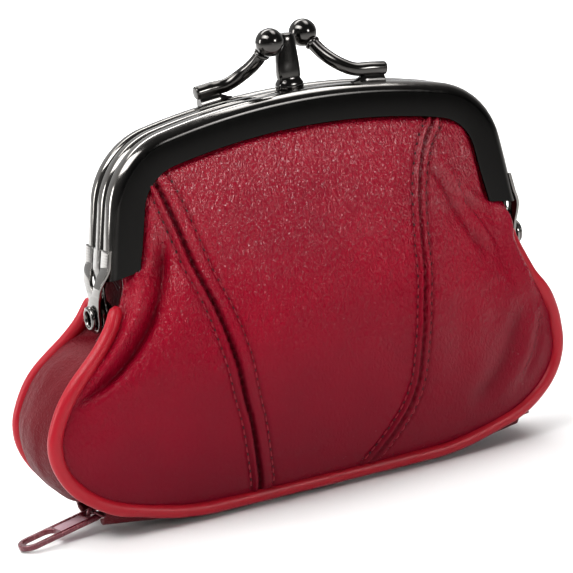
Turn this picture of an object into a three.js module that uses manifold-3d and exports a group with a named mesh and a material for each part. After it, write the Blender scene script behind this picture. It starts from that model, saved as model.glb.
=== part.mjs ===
// A clasp coin purse: three sprung-metal frames on two hollow rivets, leather panels sewn to a
// piped gusset, and a zip along the bottom.
// Millimetres, +Z up. The front of the purse faces -Y. Shapes are worked out about the line midway
// between the rivets, and the last group moves the origin under the middle of the whole object.
import * as THREE from "three";
import { mergeVertices } from "three/addons/utils/BufferGeometryUtils.js";
import Module from "manifold-3d";

// ---------------------------------------------------------------- driving dimensions
// Frames
const PIVOT_Z = 43.7; // height of the rivets' axis
const ARCH_TOP_Z = 82.3; // top of the frames
const ARCH_TOP_RADIUS = 146; // long curve over the top
const ARCH_CORNER_RADIUS = 16.5;
const ARM_END_X = 46.6; // outside of the arms where their channels end
const ARM_END_Z = 53.8;
const ARM_LEAN = THREE.MathUtils.degToRad(10.5); // the arms splay outwards on the way down
const CHANNEL_DEPTH = 7.2; // outer frames, from the outside of the arch to the face's inner edge
const MIDDLE_DEPTH = 5.6;
const MIDDLE_HALF = 2.1; // half the thickness of the middle frame
const OUTER_BACK = 2.4; // the outer frames' back walls stand this far from the middle plane
const OUTER_FACE = 6.6; // and their faces this far
const WALL = 0.7; // sheet metal
const EAR_RADIUS = 3.1;
const EAR_LAYERS = [45.9, 46.9, 47.9]; // inner faces of the three stacked ears
const EAR_HOLE_RADIUS = 2.25;
const RIVET_RADIUS = 1.95;
const RIVET_BORE = 1.4;

// Clasp
const BALL_RADIUS = 2.9;
const BALL_AT = [5.6, 3.75, 92.5]; // behind the post and to its right; the other is turned round Z
const ROD_RADIUS = 1.4;
const POST_X = -0.4;
const POST_TOP_Z = 93.5;

// Leather body, measured to the seams where the piping is sewn in
const BODY_HALF = 57.6;
const SEAM_BOTTOM_Z = 2.3;
const SWAY_X = -4.7; // the soft body hangs a little to the left of the frames
const SWAY_Y = 3; // and a little behind them
const SWAY_TOP_Z = 46;
const SWAY_DROP = 24;
const GUSSET_HALF = 10; // half the gusset's width over most of its length
const GUSSET_HALF_TOP = 7; // and at the rivets
const PIPING_RADIUS = 1.5;
const PIPING_TOP_Z = 41.5;
const PANEL_INSET = 2.1; // from the seam line to the panels' edge
const LEATHER = 1.2;
const SPLIT_RADIUS = 21.1; // the upper pieces swing round the rivets outside this radius
const SPLIT_GAP = 0.6;
const WAIST_Z = 43.2; // the lower pieces narrow here, to pass between the frames' arms
const NECK_HALF = 36.2; // and above it they are this wide on each side
const GAP = 0.3;

// Zip: everything that runs along it follows one arc seen from the front
const ZIP_RADIUS = 360;
const ZIP_MID_Z = 1.75;
const ZIP_HALF = 50.2;
const FLAT_HALF = 20; // the stretch of the bottom that lies flat
const SLIDER_X = -41.6; // centre of the slider, from the middle of the zip
const SLIDER_HALF = 4.3;
const SLIDER_HALF_WIDTH = 3.8;
const EYE_RADIUS = 1.6; // the eye that the pull hangs in
const EYE_BORE = 1.05;
const EYE_HALF = 0.5;
const EYE_Z = 0.35; // below the coil, so that the pull passes under it
const PULL_LENGTH = 17.6;
const PULL_HALF = 2.75;
const PULL_THICK = 1.1;
const PULL_PITCH = THREE.MathUtils.degToRad(-9.1); // the pull droops to the table
const PULL_YAW = THREE.MathUtils.degToRad(7); // and lies a little askew

// The origin lies under the middle of the whole, zip pull included
const ORIGIN_X = -7.05;
const ORIGIN_Y = 2.18;

// ---------------------------------------------------------------- materials
const material = (color, roughness, metalness) =>
  new THREE.MeshStandardMaterial({ color, roughness, metalness });
const GUNMETAL = material(0x3a3633, 0.12, 1);
const CRIMSON = material(0x9b1128, 0.45, 0);
const DARK_CRIMSON = material(0x74121f, 0.5, 0);
const PIPING_RED = material(0xc01c26, 0.4, 0);
const BURGUNDY_CLOTH = material(0x4a1520, 0.9, 0);
const BURGUNDY_METAL = material(0x5c1f2b, 0.35, 0.4);
const LINING = material(0x3b1219, 0.95, 0);

// ---------------------------------------------------------------- geometry helpers
const wasm = await Module();
wasm.setup();

const { clamp, lerp, smoothstep } = THREE.MathUtils;

function signedVolume(geometry) {
  const position = geometry.getAttribute("position");
  const [a, b, c] = [new THREE.Vector3(), new THREE.Vector3(), new THREE.Vector3()];
  let six = 0;
  for (let i = 0; i < geometry.index.count; i += 3) {
    a.fromBufferAttribute(position, geometry.index.getX(i));
    b.fromBufferAttribute(position, geometry.index.getX(i + 1));
    c.fromBufferAttribute(position, geometry.index.getX(i + 2));
    six += a.dot(b.cross(c));
  }
  return six / 6;
}

// Welds a geometry's shared vertices and makes its faces point out.
function weld(geometry) {
  geometry.deleteAttribute("normal");
  geometry.deleteAttribute("uv");
  const welded = mergeVertices(geometry, 1e-4);
  if (signedVolume(welded) < 0) {
    const index = welded.index;
    for (let i = 0; i < index.count; i += 3) {
      const second = index.getX(i + 1);
      index.setX(i + 1, index.getX(i + 2));
      index.setX(i + 2, second);
    }
  }
  welded.computeVertexNormals();
  return welded;
}

// Moves every vertex of a geometry to place(x, y, z).
function warp(geometry, place) {
  const position = geometry.getAttribute("position");
  for (let i = 0; i < position.count; i++) {
    position.setXYZ(i, ...place(position.getX(i), position.getY(i), position.getZ(i)));
  }
  return geometry;
}

// A closed slab: place(u, v, w) gives the point for u and v in 0..1 along its two long sides
// and w in 0..1 through its thickness.
function slab(acrossSteps, upSteps, place) {
  const box = new THREE.BoxGeometry(1, 1, 1, acrossSteps, 1, upSteps);
  return weld(warp(box, (x, y, z) => place(x + 0.5, z + 0.5, y + 0.5)));
}

// A section swept through stations: place(station index, section x, section y) gives the point.
function sweep(section, stations, place) {
  const settings = { depth: stations - 1, steps: stations - 1, bevelEnabled: false, curveSegments: 2 };
  const straight = new THREE.ExtrudeGeometry(section, settings);
  return weld(warp(straight, (x, y, z) => place(Math.round(z), x, y)));
}

// A shape drawn in the X-Z plane, given thickness along Y.
function plateXZ(shape, lowY, highY, curveSegments = 6) {
  const settings = { depth: highY - lowY, bevelEnabled: false, curveSegments };
  const flat = new THREE.ExtrudeGeometry(shape, settings);
  return weld(warp(flat, (x, y, z) => [x, lowY + z, y]));
}

// A shape drawn in the Y-Z plane, given thickness along X.
function plateYZ(shape, lowX, highX, curveSegments = 6) {
  const settings = { depth: highX - lowX, bevelEnabled: false, curveSegments };
  const flat = new THREE.ExtrudeGeometry(shape, settings);
  return weld(warp(flat, (x, y, z) => [lowX + z, x, y]));
}

// A round rod along a curve.
function rod(curve, radius, steps) {
  const circle = new THREE.Shape().absarc(0, 0, radius, 0, Math.PI * 2);
  const settings = { steps, extrudePath: curve, curveSegments: 4, bevelEnabled: false };
  return weld(new THREE.ExtrudeGeometry(circle, settings));
}

// A ring or solid turned about the X axis, from [radius, x] points.
function turnedX(profile, segments) {
  const points = profile.map(([radius, along]) => new THREE.Vector2(radius, along));
  return weld(new THREE.LatheGeometry(points, segments).rotateZ(-Math.PI / 2));
}

function polygon(points) {
  return new THREE.Shape(points.map(([x, y]) => new THREE.Vector2(x, y)));
}

function toSolid(geometry) {
  return new wasm.Manifold(
    new wasm.Mesh({
      numProp: 3,
      vertProperties: geometry.getAttribute("position").array,
      triVerts: new Uint32Array(geometry.index.array),
    }),
  );
}

function toGeometry(solid) {
  const mesh = solid.getMesh();
  const geometry = new THREE.BufferGeometry();
  geometry.setAttribute("position", new THREE.BufferAttribute(mesh.vertProperties, 3));
  geometry.setIndex(new THREE.BufferAttribute(mesh.triVerts, 1));
  return weld(geometry);
}

const join = (...parts) => toGeometry(parts.map(toSolid).reduce((a, b) => a.add(b)));
const common = (a, b) => toGeometry(toSolid(a).intersect(toSolid(b)));
const cut = (a, ...tools) => toGeometry(tools.reduce((s, t) => s.subtract(toSolid(t)), toSolid(a)));
const turned = (geometry) => geometry.clone().rotateZ(Math.PI);

const purse = new THREE.Group();

function part(name, geometry, look) {
  const mesh = new THREE.Mesh(geometry, look);
  mesh.name = name;
  purse.add(mesh);
}

// ---------------------------------------------------------------- the arch that all frames share
function makeArch() {
  const topCentre = new THREE.Vector2(0, ARCH_TOP_Z - ARCH_TOP_RADIUS);
  const armEnd = new THREE.Vector2(ARM_END_X, ARM_END_Z);
  const up = new THREE.Vector2(-Math.sin(ARM_LEAN), Math.cos(ARM_LEAN));
  const inward = new THREE.Vector2(-up.y, up.x);
  // The corner circle touches the arm's line and the top circle from inside.
  const foot = armEnd.clone().addScaledVector(inward, ARCH_CORNER_RADIUS).sub(topCentre);
  const reach = ARCH_TOP_RADIUS - ARCH_CORNER_RADIUS;
  const along = foot.dot(up);
  const travel = -along + Math.sqrt(along * along - foot.lengthSq() + reach * reach);
  const cornerCentre = foot.clone().addScaledVector(up, travel).add(topCentre);
  const armTop = armEnd.clone().addScaledVector(up, travel);
  const meet = cornerCentre.clone().sub(topCentre).angle();
  const left = (v) => new THREE.Vector2(-v.x, v.y);
  const arc = (centre, radius, from, to) =>
    new THREE.EllipseCurve(centre.x, centre.y, radius, radius, from, to, true);
  return [
    { curve: new THREE.LineCurve(left(armEnd), left(armTop)), steps: 1 },
    { curve: arc(left(cornerCentre), ARCH_CORNER_RADIUS, Math.PI - ARM_LEAN, Math.PI - meet), steps: 5 },
    { curve: arc(topCentre, ARCH_TOP_RADIUS, Math.PI - meet, meet), steps: 6 },
    { curve: arc(cornerCentre, ARCH_CORNER_RADIUS, meet, ARM_LEAN), steps: 5 },
    { curve: new THREE.LineCurve(armTop, armEnd), steps: 1 },
  ];
}

function makeStations() {
  const stations = [];
  for (const { curve, steps } of makeArch()) {
    for (let i = stations.length ? 1 : 0; i <= steps; i++) {
      const at = curve.getPoint(i / steps);
      const along = curve.getTangent(i / steps);
      stations.push({ x: at.x, z: at.y, inX: along.y, inZ: -along.x });
    }
  }
  return stations;
}

const ARCH = makeStations();
const RIGHT_ARCH = ARCH.slice((ARCH.length - 1) / 2);

// The point at a station, set in from the outside of the arch.
const inset = (station, depth) => [station.x + station.inX * depth, station.z + station.inZ * depth];

// Half the arch's width at a height, and its height at a distance from the middle, both set in.
function archHalf(z, depth) {
  const right = RIGHT_ARCH.map((s) => inset(s, depth));
  if (z >= right[0][1]) return 0;
  for (let i = 1; i < right.length; i++) {
    if (z >= right[i][1]) {
      const t = (z - right[i - 1][1]) / (right[i][1] - right[i - 1][1]);
      return lerp(right[i - 1][0], right[i][0], t);
    }
  }
  return right.at(-1)[0] + (right.at(-1)[1] - z) * Math.tan(ARM_LEAN);
}

function archHeight(x, depth) {
  const right = RIGHT_ARCH.map((s) => inset(s, depth));
  for (let i = 1; i < right.length; i++) {
    if (Math.abs(x) <= right[i][0]) {
      const t = (Math.abs(x) - right[i - 1][0]) / (right[i][0] - right[i - 1][0]);
      return lerp(right[i - 1][1], right[i][1], t);
    }
  }
  return right.at(-1)[1];
}

// ---------------------------------------------------------------- frames
function channel(section, outward) {
  return sweep(section, ARCH.length, (i, out, depth) => {
    const [x, z] = inset(ARCH[i], depth);
    return [x, out * outward, z];
  });
}

// One ear: a strip bent from the arm's outer wall to its layer, trimmed to a rounded tab.
function ear(side, layer, outline, lowY, highY) {
  const inner = EAR_LAYERS[layer];
  const wallAt = (z) => ARM_END_X + (ARM_END_Z - z) * Math.tan(ARM_LEAN);
  const strip = polygon([
    [side * (wallAt(58) - 0.2), 58],
    [side * (wallAt(54.3) - 0.2), 54.3],
    [side * (wallAt(53) + 0.1), 53],
    [side * (inner + WALL), 49.5],
    [side * (inner + WALL), 39],
    [side * inner, 39],
    [side * inner, 49.5],
    [side * (wallAt(53) - 0.6), 53],
    [side * (wallAt(54.3) - 0.6), 54.3],
    [side * (wallAt(58) - 0.6), 58],
  ]);
  const bent = plateXZ(strip, lowY - 1, highY + 1);
  const low = Math.min(side * 43, side * 52);
  return common(bent, plateYZ(outline, low, low + 9));
}

function pivotCutter() {
  const cutter = new THREE.CylinderGeometry(EAR_HOLE_RADIUS, EAR_HOLE_RADIUS, 120, 16, 1);
  return weld(cutter.rotateZ(Math.PI / 2).translate(0, 0, PIVOT_Z));
}

const angle = THREE.MathUtils.degToRad;

function outerEarOutline() {
  const shape = new THREE.Shape();
  shape.moveTo(-3, 58);
  shape.lineTo(-6, 58);
  shape.lineTo(-6, 52.2);
  shape.lineTo(-4.2, 48.6);
  shape.absarc(0, PIVOT_Z, EAR_RADIUS, angle(170), angle(390), false);
  shape.lineTo(1.2, 47.6);
  shape.lineTo(-2.4, 49.7);
  shape.lineTo(-2.7, 53.2);
  return shape;
}

function middleEarOutline() {
  const shape = new THREE.Shape();
  shape.moveTo(1.6, 58);
  shape.lineTo(-1.6, 58);
  shape.lineTo(-1.8, 52);
  shape.absarc(0, PIVOT_Z, EAR_RADIUS, angle(165), angle(375), false);
  shape.lineTo(1.8, 52);
  return shape;
}

// The outer frames are one pressing: on one side its ear is the outermost, on the other it lies
// in the middle layer, so two of them turned face to face nest on the rivets.
function outerFrame() {
  const shape = new THREE.Shape();
  shape.moveTo(OUTER_BACK, MIDDLE_DEPTH);
  shape.lineTo(OUTER_BACK, 1);
  shape.absarc(OUTER_BACK + 1, 1, 1, Math.PI, Math.PI * 1.5, false);
  shape.absarc(OUTER_FACE - 2.2, 2.2, 2.2, Math.PI * 1.5, Math.PI * 2, false);
  shape.lineTo(OUTER_FACE, CHANNEL_DEPTH);
  shape.lineTo(OUTER_FACE - WALL, CHANNEL_DEPTH);
  shape.lineTo(OUTER_FACE - WALL, 2.4);
  shape.absarc(OUTER_FACE - WALL - 1.6, 2.3, 1.6, 0, -Math.PI / 2, true);
  shape.lineTo(OUTER_BACK + WALL, WALL);
  shape.lineTo(OUTER_BACK + WALL, MIDDLE_DEPTH);
  const bow = channel(shape, -1);
  const leftEar = ear(-1, 2, outerEarOutline(), -7, 4);
  const rightEar = ear(1, 1, outerEarOutline(), -7, 4);
  return cut(join(bow, leftEar, rightEar), pivotCutter());
}

function middleFrame() {
  const round = 1.6;
  const shape = new THREE.Shape();
  shape.moveTo(-MIDDLE_HALF, MIDDLE_DEPTH);
  shape.lineTo(-MIDDLE_HALF, round);
  shape.absarc(round - MIDDLE_HALF, round, round, Math.PI, Math.PI * 1.5, false);
  shape.absarc(MIDDLE_HALF - round, round, round, Math.PI * 1.5, Math.PI * 2, false);
  shape.lineTo(MIDDLE_HALF, MIDDLE_DEPTH);
  shape.lineTo(MIDDLE_HALF - WALL, MIDDLE_DEPTH);
  shape.lineTo(MIDDLE_HALF - WALL, WALL);
  shape.lineTo(WALL - MIDDLE_HALF, WALL);
  shape.lineTo(WALL - MIDDLE_HALF, MIDDLE_DEPTH);
  const ears = [-1, 1].map((side) => ear(side, 0, middleEarOutline(), -4, 4));
  return cut(join(channel(shape, 1), ...ears), pivotCutter());
}

function rivet(side) {
  const inside = EAR_LAYERS[0] - GAP;
  const outside = EAR_LAYERS[2] + WALL + GAP;
  const ring = turnedX(
    [
      [RIVET_BORE, inside - 0.7],
      [2.9, inside - 0.7],
      [2.9, inside],
      [RIVET_RADIUS, inside],
      [RIVET_RADIUS, outside],
      [2.5, outside],
      [2.5, outside + 0.4],
      [2, outside + 0.8],
      [RIVET_BORE, outside + 0.7],
      [RIVET_BORE, inside - 0.7],
    ],
    12,
  );
  ring.translate(0, 0, PIVOT_Z);
  return side > 0 ? ring : turned(ring);
}

// ---------------------------------------------------------------- clasp
// The rear frame's rod is soldered at the left and ends in front of the post, and the front
// frame's rod is the same piece turned round the post.
const ROD_START = [-19.4, 4.4];
const ROD_HEIGHT = 2.7; // above the arch

function rodCurve() {
  const [ballX, ballY, ballZ] = BALL_AT;
  const tip = new THREE.Vector3(-ballX, -ballY, ballZ);
  const base = (x, y) => new THREE.Vector3(x, y, archHeight(x, 0) + ROD_HEIGHT);
  const points = [
    base(ROD_START[0], ROD_START[1]),
    base(-16, 4.4),
    base(-12.5, 4),
    new THREE.Vector3(-9.6, 2.6, 86.1),
    new THREE.Vector3(-7.7, 0, 88.3),
  ];
  const last = points.at(-1);
  const stop = tip.clone().add(last.clone().sub(tip).setLength(BALL_RADIUS + GAP));
  return new THREE.CatmullRomCurve3([...points, stop]);
}

function claspFoot() {
  return slab(3, 1, (u, v, w) => {
    const x = lerp(-19, -12.6, u);
    const low = archHeight(x, 0) + GAP;
    const high = archHeight(x, 0) + ROD_HEIGHT - ROD_RADIUS - GAP;
    return [x, lerp(3.6, 5.2, v), lerp(low, high, w)];
  });
}

function ball() {
  const [x, y, z] = BALL_AT;
  return weld(new THREE.SphereGeometry(BALL_RADIUS, 14, 9).rotateX(Math.PI / 2).translate(-x, -y, z));
}

function post() {
  const profile = [
    [0, ARCH_TOP_Z + GAP],
    [2.5, ARCH_TOP_Z + GAP],
    [2.4, 84.2],
    [2.1, 88],
    [1.85, POST_TOP_Z - 0.6],
    [1.5, POST_TOP_Z],
    [0, POST_TOP_Z],
  ];
  const points = profile.map(([radius, z]) => new THREE.Vector2(radius, z));
  const turnedUp = new THREE.LatheGeometry(points, 14).rotateX(Math.PI / 2);
  return weld(turnedUp.scale(1, 0.78, 1).translate(POST_X, 0, 0));
}

// ---------------------------------------------------------------- leather body
// The seam line, right half: from the rivet down the side, round the corner and along the bottom.
const FLAT_SEAM = 25;
const seamCurves = [
  [[46, 47], [46, 42], [49.5, 37.5], [52.5, 34]],
  [[52.5, 34], [55.5, 30.5], [BODY_HALF, 25.5], [BODY_HALF, 20.5]],
  [[BODY_HALF, 20.5], [BODY_HALF, 13.5], [50.5, 7.2], [42.5, 5.4]],
  [[42.5, 5.4], [36, 3.6], [31, SEAM_BOTTOM_Z], [FLAT_SEAM, SEAM_BOTTOM_Z]],
].map((corners) => new THREE.CubicBezierCurve(...corners.map(([x, z]) => new THREE.Vector2(x, z))));
const SEAM = seamCurves.flatMap((curve, i) => curve.getPoints(9).slice(i ? 1 : 0));

// Half the width inside a line like the seam, at a height.
function halfAt(line, z) {
  for (let i = 1; i < line.length; i++) {
    if (z >= line[i].y) {
      const span = Math.max(line[i - 1].y - line[i].y, 1e-6);
      return lerp(line[i].x, line[i - 1].x, clamp((z - line[i].y) / span, 0, 1));
    }
  }
  return line.at(-1).x;
}

const seamHalf = (z) => halfAt(SEAM, z);

// The panels' own edge runs inside the seam line, clear of the piping.
const PANEL_EDGE = SEAM.map((p, i) => {
  const along = SEAM[Math.min(i + 1, SEAM.length - 1)].clone().sub(SEAM[Math.max(i - 1, 0)]).normalize();
  return new THREE.Vector2(p.x + along.y * PANEL_INSET, p.y - along.x * PANEL_INSET);
});

const sway = (z) => smoothstep(SWAY_TOP_Z - z, 0, SWAY_DROP);
const gussetHalf = (z) => lerp(GUSSET_HALF, GUSSET_HALF_TOP, smoothstep(z, 30, 46));
const hang = ([x, y, z]) => [x + SWAY_X * sway(z), y + SWAY_Y * sway(z), z];

// How far the leather stands out at the middle of the purse, by height.
const BILLOW = new THREE.SplineCurve(
  [[2, 9.6], [5, 12.2], [11, 15], [19, 17.4], [29, 18.7], [37, 17.8], [44, 16.4], [56, 13.6], [66, 9.6], [75.2, 5]].map(
    ([z, out]) => new THREE.Vector2(z, out),
  ),
);
const BILLOW_POINTS = BILLOW.getPoints(60);

function billow(z) {
  const i = BILLOW_POINTS.findIndex((p) => p.x >= z);
  if (i <= 0) return BILLOW_POINTS.at(i).y;
  const [a, b] = [BILLOW_POINTS[i - 1], BILLOW_POINTS[i]];
  return lerp(a.y, b.y, (z - a.x) / (b.x - a.x));
}

// The edge that the leather hangs from at a height: half-width, and distance from the middle plane.
function leatherEdge(z) {
  const t = smoothstep(z, 46, 54);
  const half = lerp(seamHalf(Math.min(z, 47)), Math.max(archHalf(z, CHANNEL_DEPTH), 0.5), t);
  return { half, out: lerp(gussetHalf(z), 5.2, t) };
}

// How far the leather's outer surface stands from the middle plane.
function leatherOut(x, z) {
  const edge = leatherEdge(z);
  const share = clamp(Math.abs(x) / edge.half, 0, 1);
  return lerp(edge.out, Math.max(billow(z), edge.out), (1 - share ** 2.4) ** 0.85);
}

// The two seams that join the three pieces of a panel, as distances from the middle by height.
const LEFT_SEAM = [[3, -15.6], [18, -19.6], [32, -24], [44, -29], [56, -31.7], [70, -34.6], [82, -37]];
const RIGHT_SEAM = [[3, 9], [14, 16], [25, 18.6], [37, 19], [51, 19.3], [65, 22.8], [73, 27.6], [82, 30]];

function seamX(seam, z) {
  const i = seam.findIndex(([height]) => height >= z);
  if (i <= 0) return seam.at(i)[1];
  const [[z0, x0], [z1, x1]] = [seam[i - 1], seam[i]];
  return lerp(x0, x1, (z - z0) / (z1 - z0));
}

const PIECES = {
  left: { from: -1, to: LEFT_SEAM, steps: 3 },
  center: { from: LEFT_SEAM, to: RIGHT_SEAM, steps: 5 },
  right: { from: RIGHT_SEAM, to: 1, steps: 4 },
};

// A piece's limits across the panel at a height: the panel's own edge, or half a gap from a seam.
function limits(piece, z, half) {
  const x = (edge) => (typeof edge === "number" ? edge * half : seamX(edge, z));
  const low = typeof piece.from === "number" ? x(piece.from) : x(piece.from) + GAP / 2;
  const high = typeof piece.to === "number" ? x(piece.to) : x(piece.to) - GAP / 2;
  return [low, high];
}

const LOWER_ROWS = [4.6, 6.4, 9, 13, 18, 24, 30, 36, 40, WAIST_Z];
const NECK_ROWS = [0, 0.34, 0.68, 1];

// The height at which a surface crosses a cylinder round the rivets' axis.
function crossing(surface, radius) {
  let [low, high] = [50, 76];
  for (let i = 0; i < 30; i++) {
    const z = (low + high) / 2;
    if (Math.hypot(surface(z), z - PIVOT_Z) < radius) low = z;
    else high = z;
  }
  return low;
}

function lowerPanel(piece, side) {
  const rows = LOWER_ROWS.length + NECK_ROWS.length - 1;
  return slab(piece.steps, rows, (u, v, w) => {
    const row = Math.round(v * rows);
    const inNeck = row >= LOWER_ROWS.length;
    const share = inNeck ? NECK_ROWS[row - LOWER_ROWS.length] : 0;
    const level = inNeck ? lerp(WAIST_Z + 1.2, 61, share) : LOWER_ROWS[row];
    const [low, high] = limits(piece, level, inNeck ? NECK_HALF : halfAt(PANEL_EDGE, level));
    const x = lerp(low, high, u);
    const top = crossing((height) => leatherOut(x, height), SPLIT_RADIUS);
    const z = inNeck ? lerp(WAIST_Z + 1.2, top, share) : level;
    return hang([side * x, -side * (leatherOut(x, z) - w * LEATHER), z]);
  });
}

// The upper pieces are held in the frame's channel.
const UPPER_INSET = 1.7;
const UPPER_ROWS = [0, 0.2, 0.4, 0.6, 0.8, 1];
const UPPER_LEVELS = [67, 73]; // heights at the ends of its lowest and highest rows
const HELD_OUT = 4.5; // middle of the outer frames' channels
const HELD_THICK = 1.8;

function upperOut(x, z) {
  const depth = Math.min(archHalf(z, 0) - Math.abs(x), archHeight(x, 0) - z);
  const free = smoothstep(depth, CHANNEL_DEPTH, CHANNEL_DEPTH + 3);
  return lerp(HELD_OUT + HELD_THICK / 2, Math.max(leatherOut(x, z), 5.4), free);
}

function upperPanel(piece, side) {
  return slab(piece.steps, UPPER_ROWS.length - 1, (u, v, w) => {
    const share = UPPER_ROWS[Math.round(v * (UPPER_ROWS.length - 1))];
    const level = lerp(...UPPER_LEVELS, share);
    const [low, high] = limits(piece, level, archHalf(level, UPPER_INSET + 0.8 * (1 - share)));
    const x = lerp(low, high, u);
    const inner = (height) => upperOut(x, height) - HELD_THICK;
    const z = lerp(crossing(inner, SPLIT_RADIUS + SPLIT_GAP), archHeight(x, UPPER_INSET), share);
    return [side * x, -side * (upperOut(x, z) - w * HELD_THICK), z];
  });
}

function lining(side) {
  return slab(6, LOWER_ROWS.length - 2, (u, v, w) => {
    const z = LOWER_ROWS[1 + Math.round(v * (LOWER_ROWS.length - 2))];
    const x = lerp(-1, 1, u) * (seamHalf(z) - 4.5);
    const out = leatherOut(x, z) - LEATHER - GAP - w * 0.4;
    return hang([side * x, -side * out, z]);
  });
}

// ---------------------------------------------------------------- dividers
// A level row of a divider, raised in the middle so that the last one follows the arch.
const CORNER_Z = 73;

function archRow(x, row) {
  return row + (archHeight(x, UPPER_INSET) - CORNER_Z) * smoothstep(row, 50, CORNER_Z);
}

const DIVIDER = 0.9;
const DIVIDER_ROWS = [5.5, 8, 12, 19, 28, 37, 46, 54, 63, CORNER_Z];
const zipRise = (x) => (x * x) / (2 * ZIP_RADIUS);

function divider(side) {
  return slab(8, DIVIDER_ROWS.length - 1, (u, v, w) => {
    const row = DIVIDER_ROWS[Math.round(v * (DIVIDER_ROWS.length - 1))];
    const loose = Math.min(seamHalf(Math.min(row, 47)) - 4, 41.5 + Math.max(0, 46 - row));
    const held = archHalf(Math.max(row, ARM_END_Z), UPPER_INSET);
    const x = lerp(-1, 1, u) * lerp(loose, held, smoothstep(row, 46, ARM_END_Z));
    const sag = (2.4 + zipRise(x) - DIVIDER_ROWS[0]) * (1 - smoothstep(row, DIVIDER_ROWS[0], 28));
    const z = archRow(x, row) + sag;
    const near = lerp(4.4, 0.35, smoothstep(z, 6, 50));
    return hang([side * x, -side * (near + w * DIVIDER), z]);
  });
}

// ---------------------------------------------------------------- gusset and piping
// The gusset's outer surface, right half: from the zip's end up the side, tucked in at the rivet.
const GUSSET_LINE = new THREE.SplineCurve(
  [[50.9, 5.4], [55.6, 9.2], [58.9, 15], [59.4, 21.5], [57.2, 28], [53.4, 33.6], [49.8, 37.2], [47.4, 39.2]].map(
    ([x, z]) => new THREE.Vector2(x, z),
  ),
);

function gusset(side) {
  return slab(12, 4, (u, v, w) => {
    const at = GUSSET_LINE.getPoint(u);
    const along = GUSSET_LINE.getTangent(u);
    const across = lerp(-1, 1, v);
    const depth = w * LEATHER - 0.8 * (1 - across * across) * smoothstep(40 - at.y, 0, 12);
    const x = at.x - along.y * depth;
    const z = at.y + along.x * depth;
    const reach = gussetHalf(z) - PIPING_RADIUS - GAP;
    return hang([side * x, across * reach, z]);
  });
}

function piping(side) {
  const half = SEAM.filter((p) => p.y <= PIPING_TOP_Z);
  const round = [...half, ...half.map((p) => new THREE.Vector2(-p.x, p.y)).reverse()];
  const points = round.map((p) => new THREE.Vector3(...hang([p.x, -side * gussetHalf(p.y), p.y])));
  return rod(new THREE.CatmullRomCurve3(points, false, "centripetal"), PIPING_RADIUS, 34);
}

// ---------------------------------------------------------------- zip
const ZIP_ROWS = [-ZIP_HALF, -44, -38, -32, -26, -FLAT_HALF, FLAT_HALF, 26, 32, 38, 44, ZIP_HALF];
const bottomRise = (x) => Math.max(0, zipRise(x) - zipRise(FLAT_HALF));

function facing(side) {
  return slab(ZIP_ROWS.length - 1, 1, (u, v, w) => {
    const x = ZIP_ROWS[Math.round(u * (ZIP_ROWS.length - 1))];
    return [SWAY_X + x, SWAY_Y - side * lerp(5.2, 8.1, v), bottomRise(x) + w * LEATHER];
  });
}

// A strip that follows the zip's arc.
function alongZip(side, from, to, nearY, farY, lowZ, highZ, steps) {
  return slab(steps, 1, (u, v, w) => {
    const x = lerp(from, to, u);
    return [SWAY_X + x, SWAY_Y - side * lerp(nearY, farY, v), zipRise(x) + lerp(lowZ, highZ, w)];
  });
}

const tape = (side) => alongZip(side, -46.2, ZIP_HALF, 2.5, 7.6, ZIP_MID_Z - 0.25, ZIP_MID_Z + 0.25, 12);
const coil = (side) => alongZip(side, -45.2, 48.4, 0.8, 2.2, ZIP_MID_Z - 0.5, ZIP_MID_Z + 0.5, 12);

const zipStop = () => alongZip(1, 48.8, 50, -2.1, 2.1, ZIP_MID_Z - 0.7, ZIP_MID_Z + 0.7, 1);

// Carries something drawn at the middle of the zip along its arc.
function carried(geometry, x) {
  const centre = ZIP_MID_Z + ZIP_RADIUS;
  geometry.translate(0, 0, -centre).rotateY(-Math.asin(x / ZIP_RADIUS)).translate(0, 0, centre);
  return geometry.translate(SWAY_X, SWAY_Y, 0);
}

// Two plates joined by a rib that runs between the two rows of the coil, with an eye at one end.
const EYE_X = -SLIDER_HALF - EYE_RADIUS;

function slider() {
  const plate = new THREE.Shape();
  plate.moveTo(-SLIDER_HALF, -2.6);
  plate.lineTo(-2.4, -SLIDER_HALF_WIDTH);
  plate.lineTo(1.2, -SLIDER_HALF_WIDTH);
  plate.lineTo(SLIDER_HALF, -3);
  plate.lineTo(SLIDER_HALF, 3);
  plate.lineTo(1.2, SLIDER_HALF_WIDTH);
  plate.lineTo(-2.4, SLIDER_HALF_WIDTH);
  plate.lineTo(-SLIDER_HALF, 2.6);
  const sheet = (low) =>
    weld(new THREE.ExtrudeGeometry(plate, { depth: 0.5, bevelEnabled: false }).translate(0, 0, low));
  const rib = weld(new THREE.BoxGeometry(1.6, 0.6, 2.2).translate(2.6, 0, ZIP_MID_Z));
  const block = (x0, x1, y, z0, z1) =>
    weld(new THREE.BoxGeometry(x1 - x0, y, z1 - z0).translate((x0 + x1) / 2, 0, (z0 + z1) / 2));
  const web = block(EYE_X + EYE_BORE + 0.15, -SLIDER_HALF + 0.4, 2 * EYE_HALF, 0.5, 0.9);
  const ringPoints = [
    [EYE_BORE, -EYE_HALF],
    [EYE_RADIUS, -EYE_HALF],
    [EYE_RADIUS, EYE_HALF],
    [EYE_BORE, EYE_HALF],
    [EYE_BORE, -EYE_HALF],
  ].map(([radius, along]) => new THREE.Vector2(radius, along));
  const eye = weld(new THREE.LatheGeometry(ringPoints, 14).translate(EYE_X, 0, EYE_Z));
  return carried(join(sheet(0.45), sheet(2.55), rib, web, eye), SLIDER_X);
}

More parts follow.
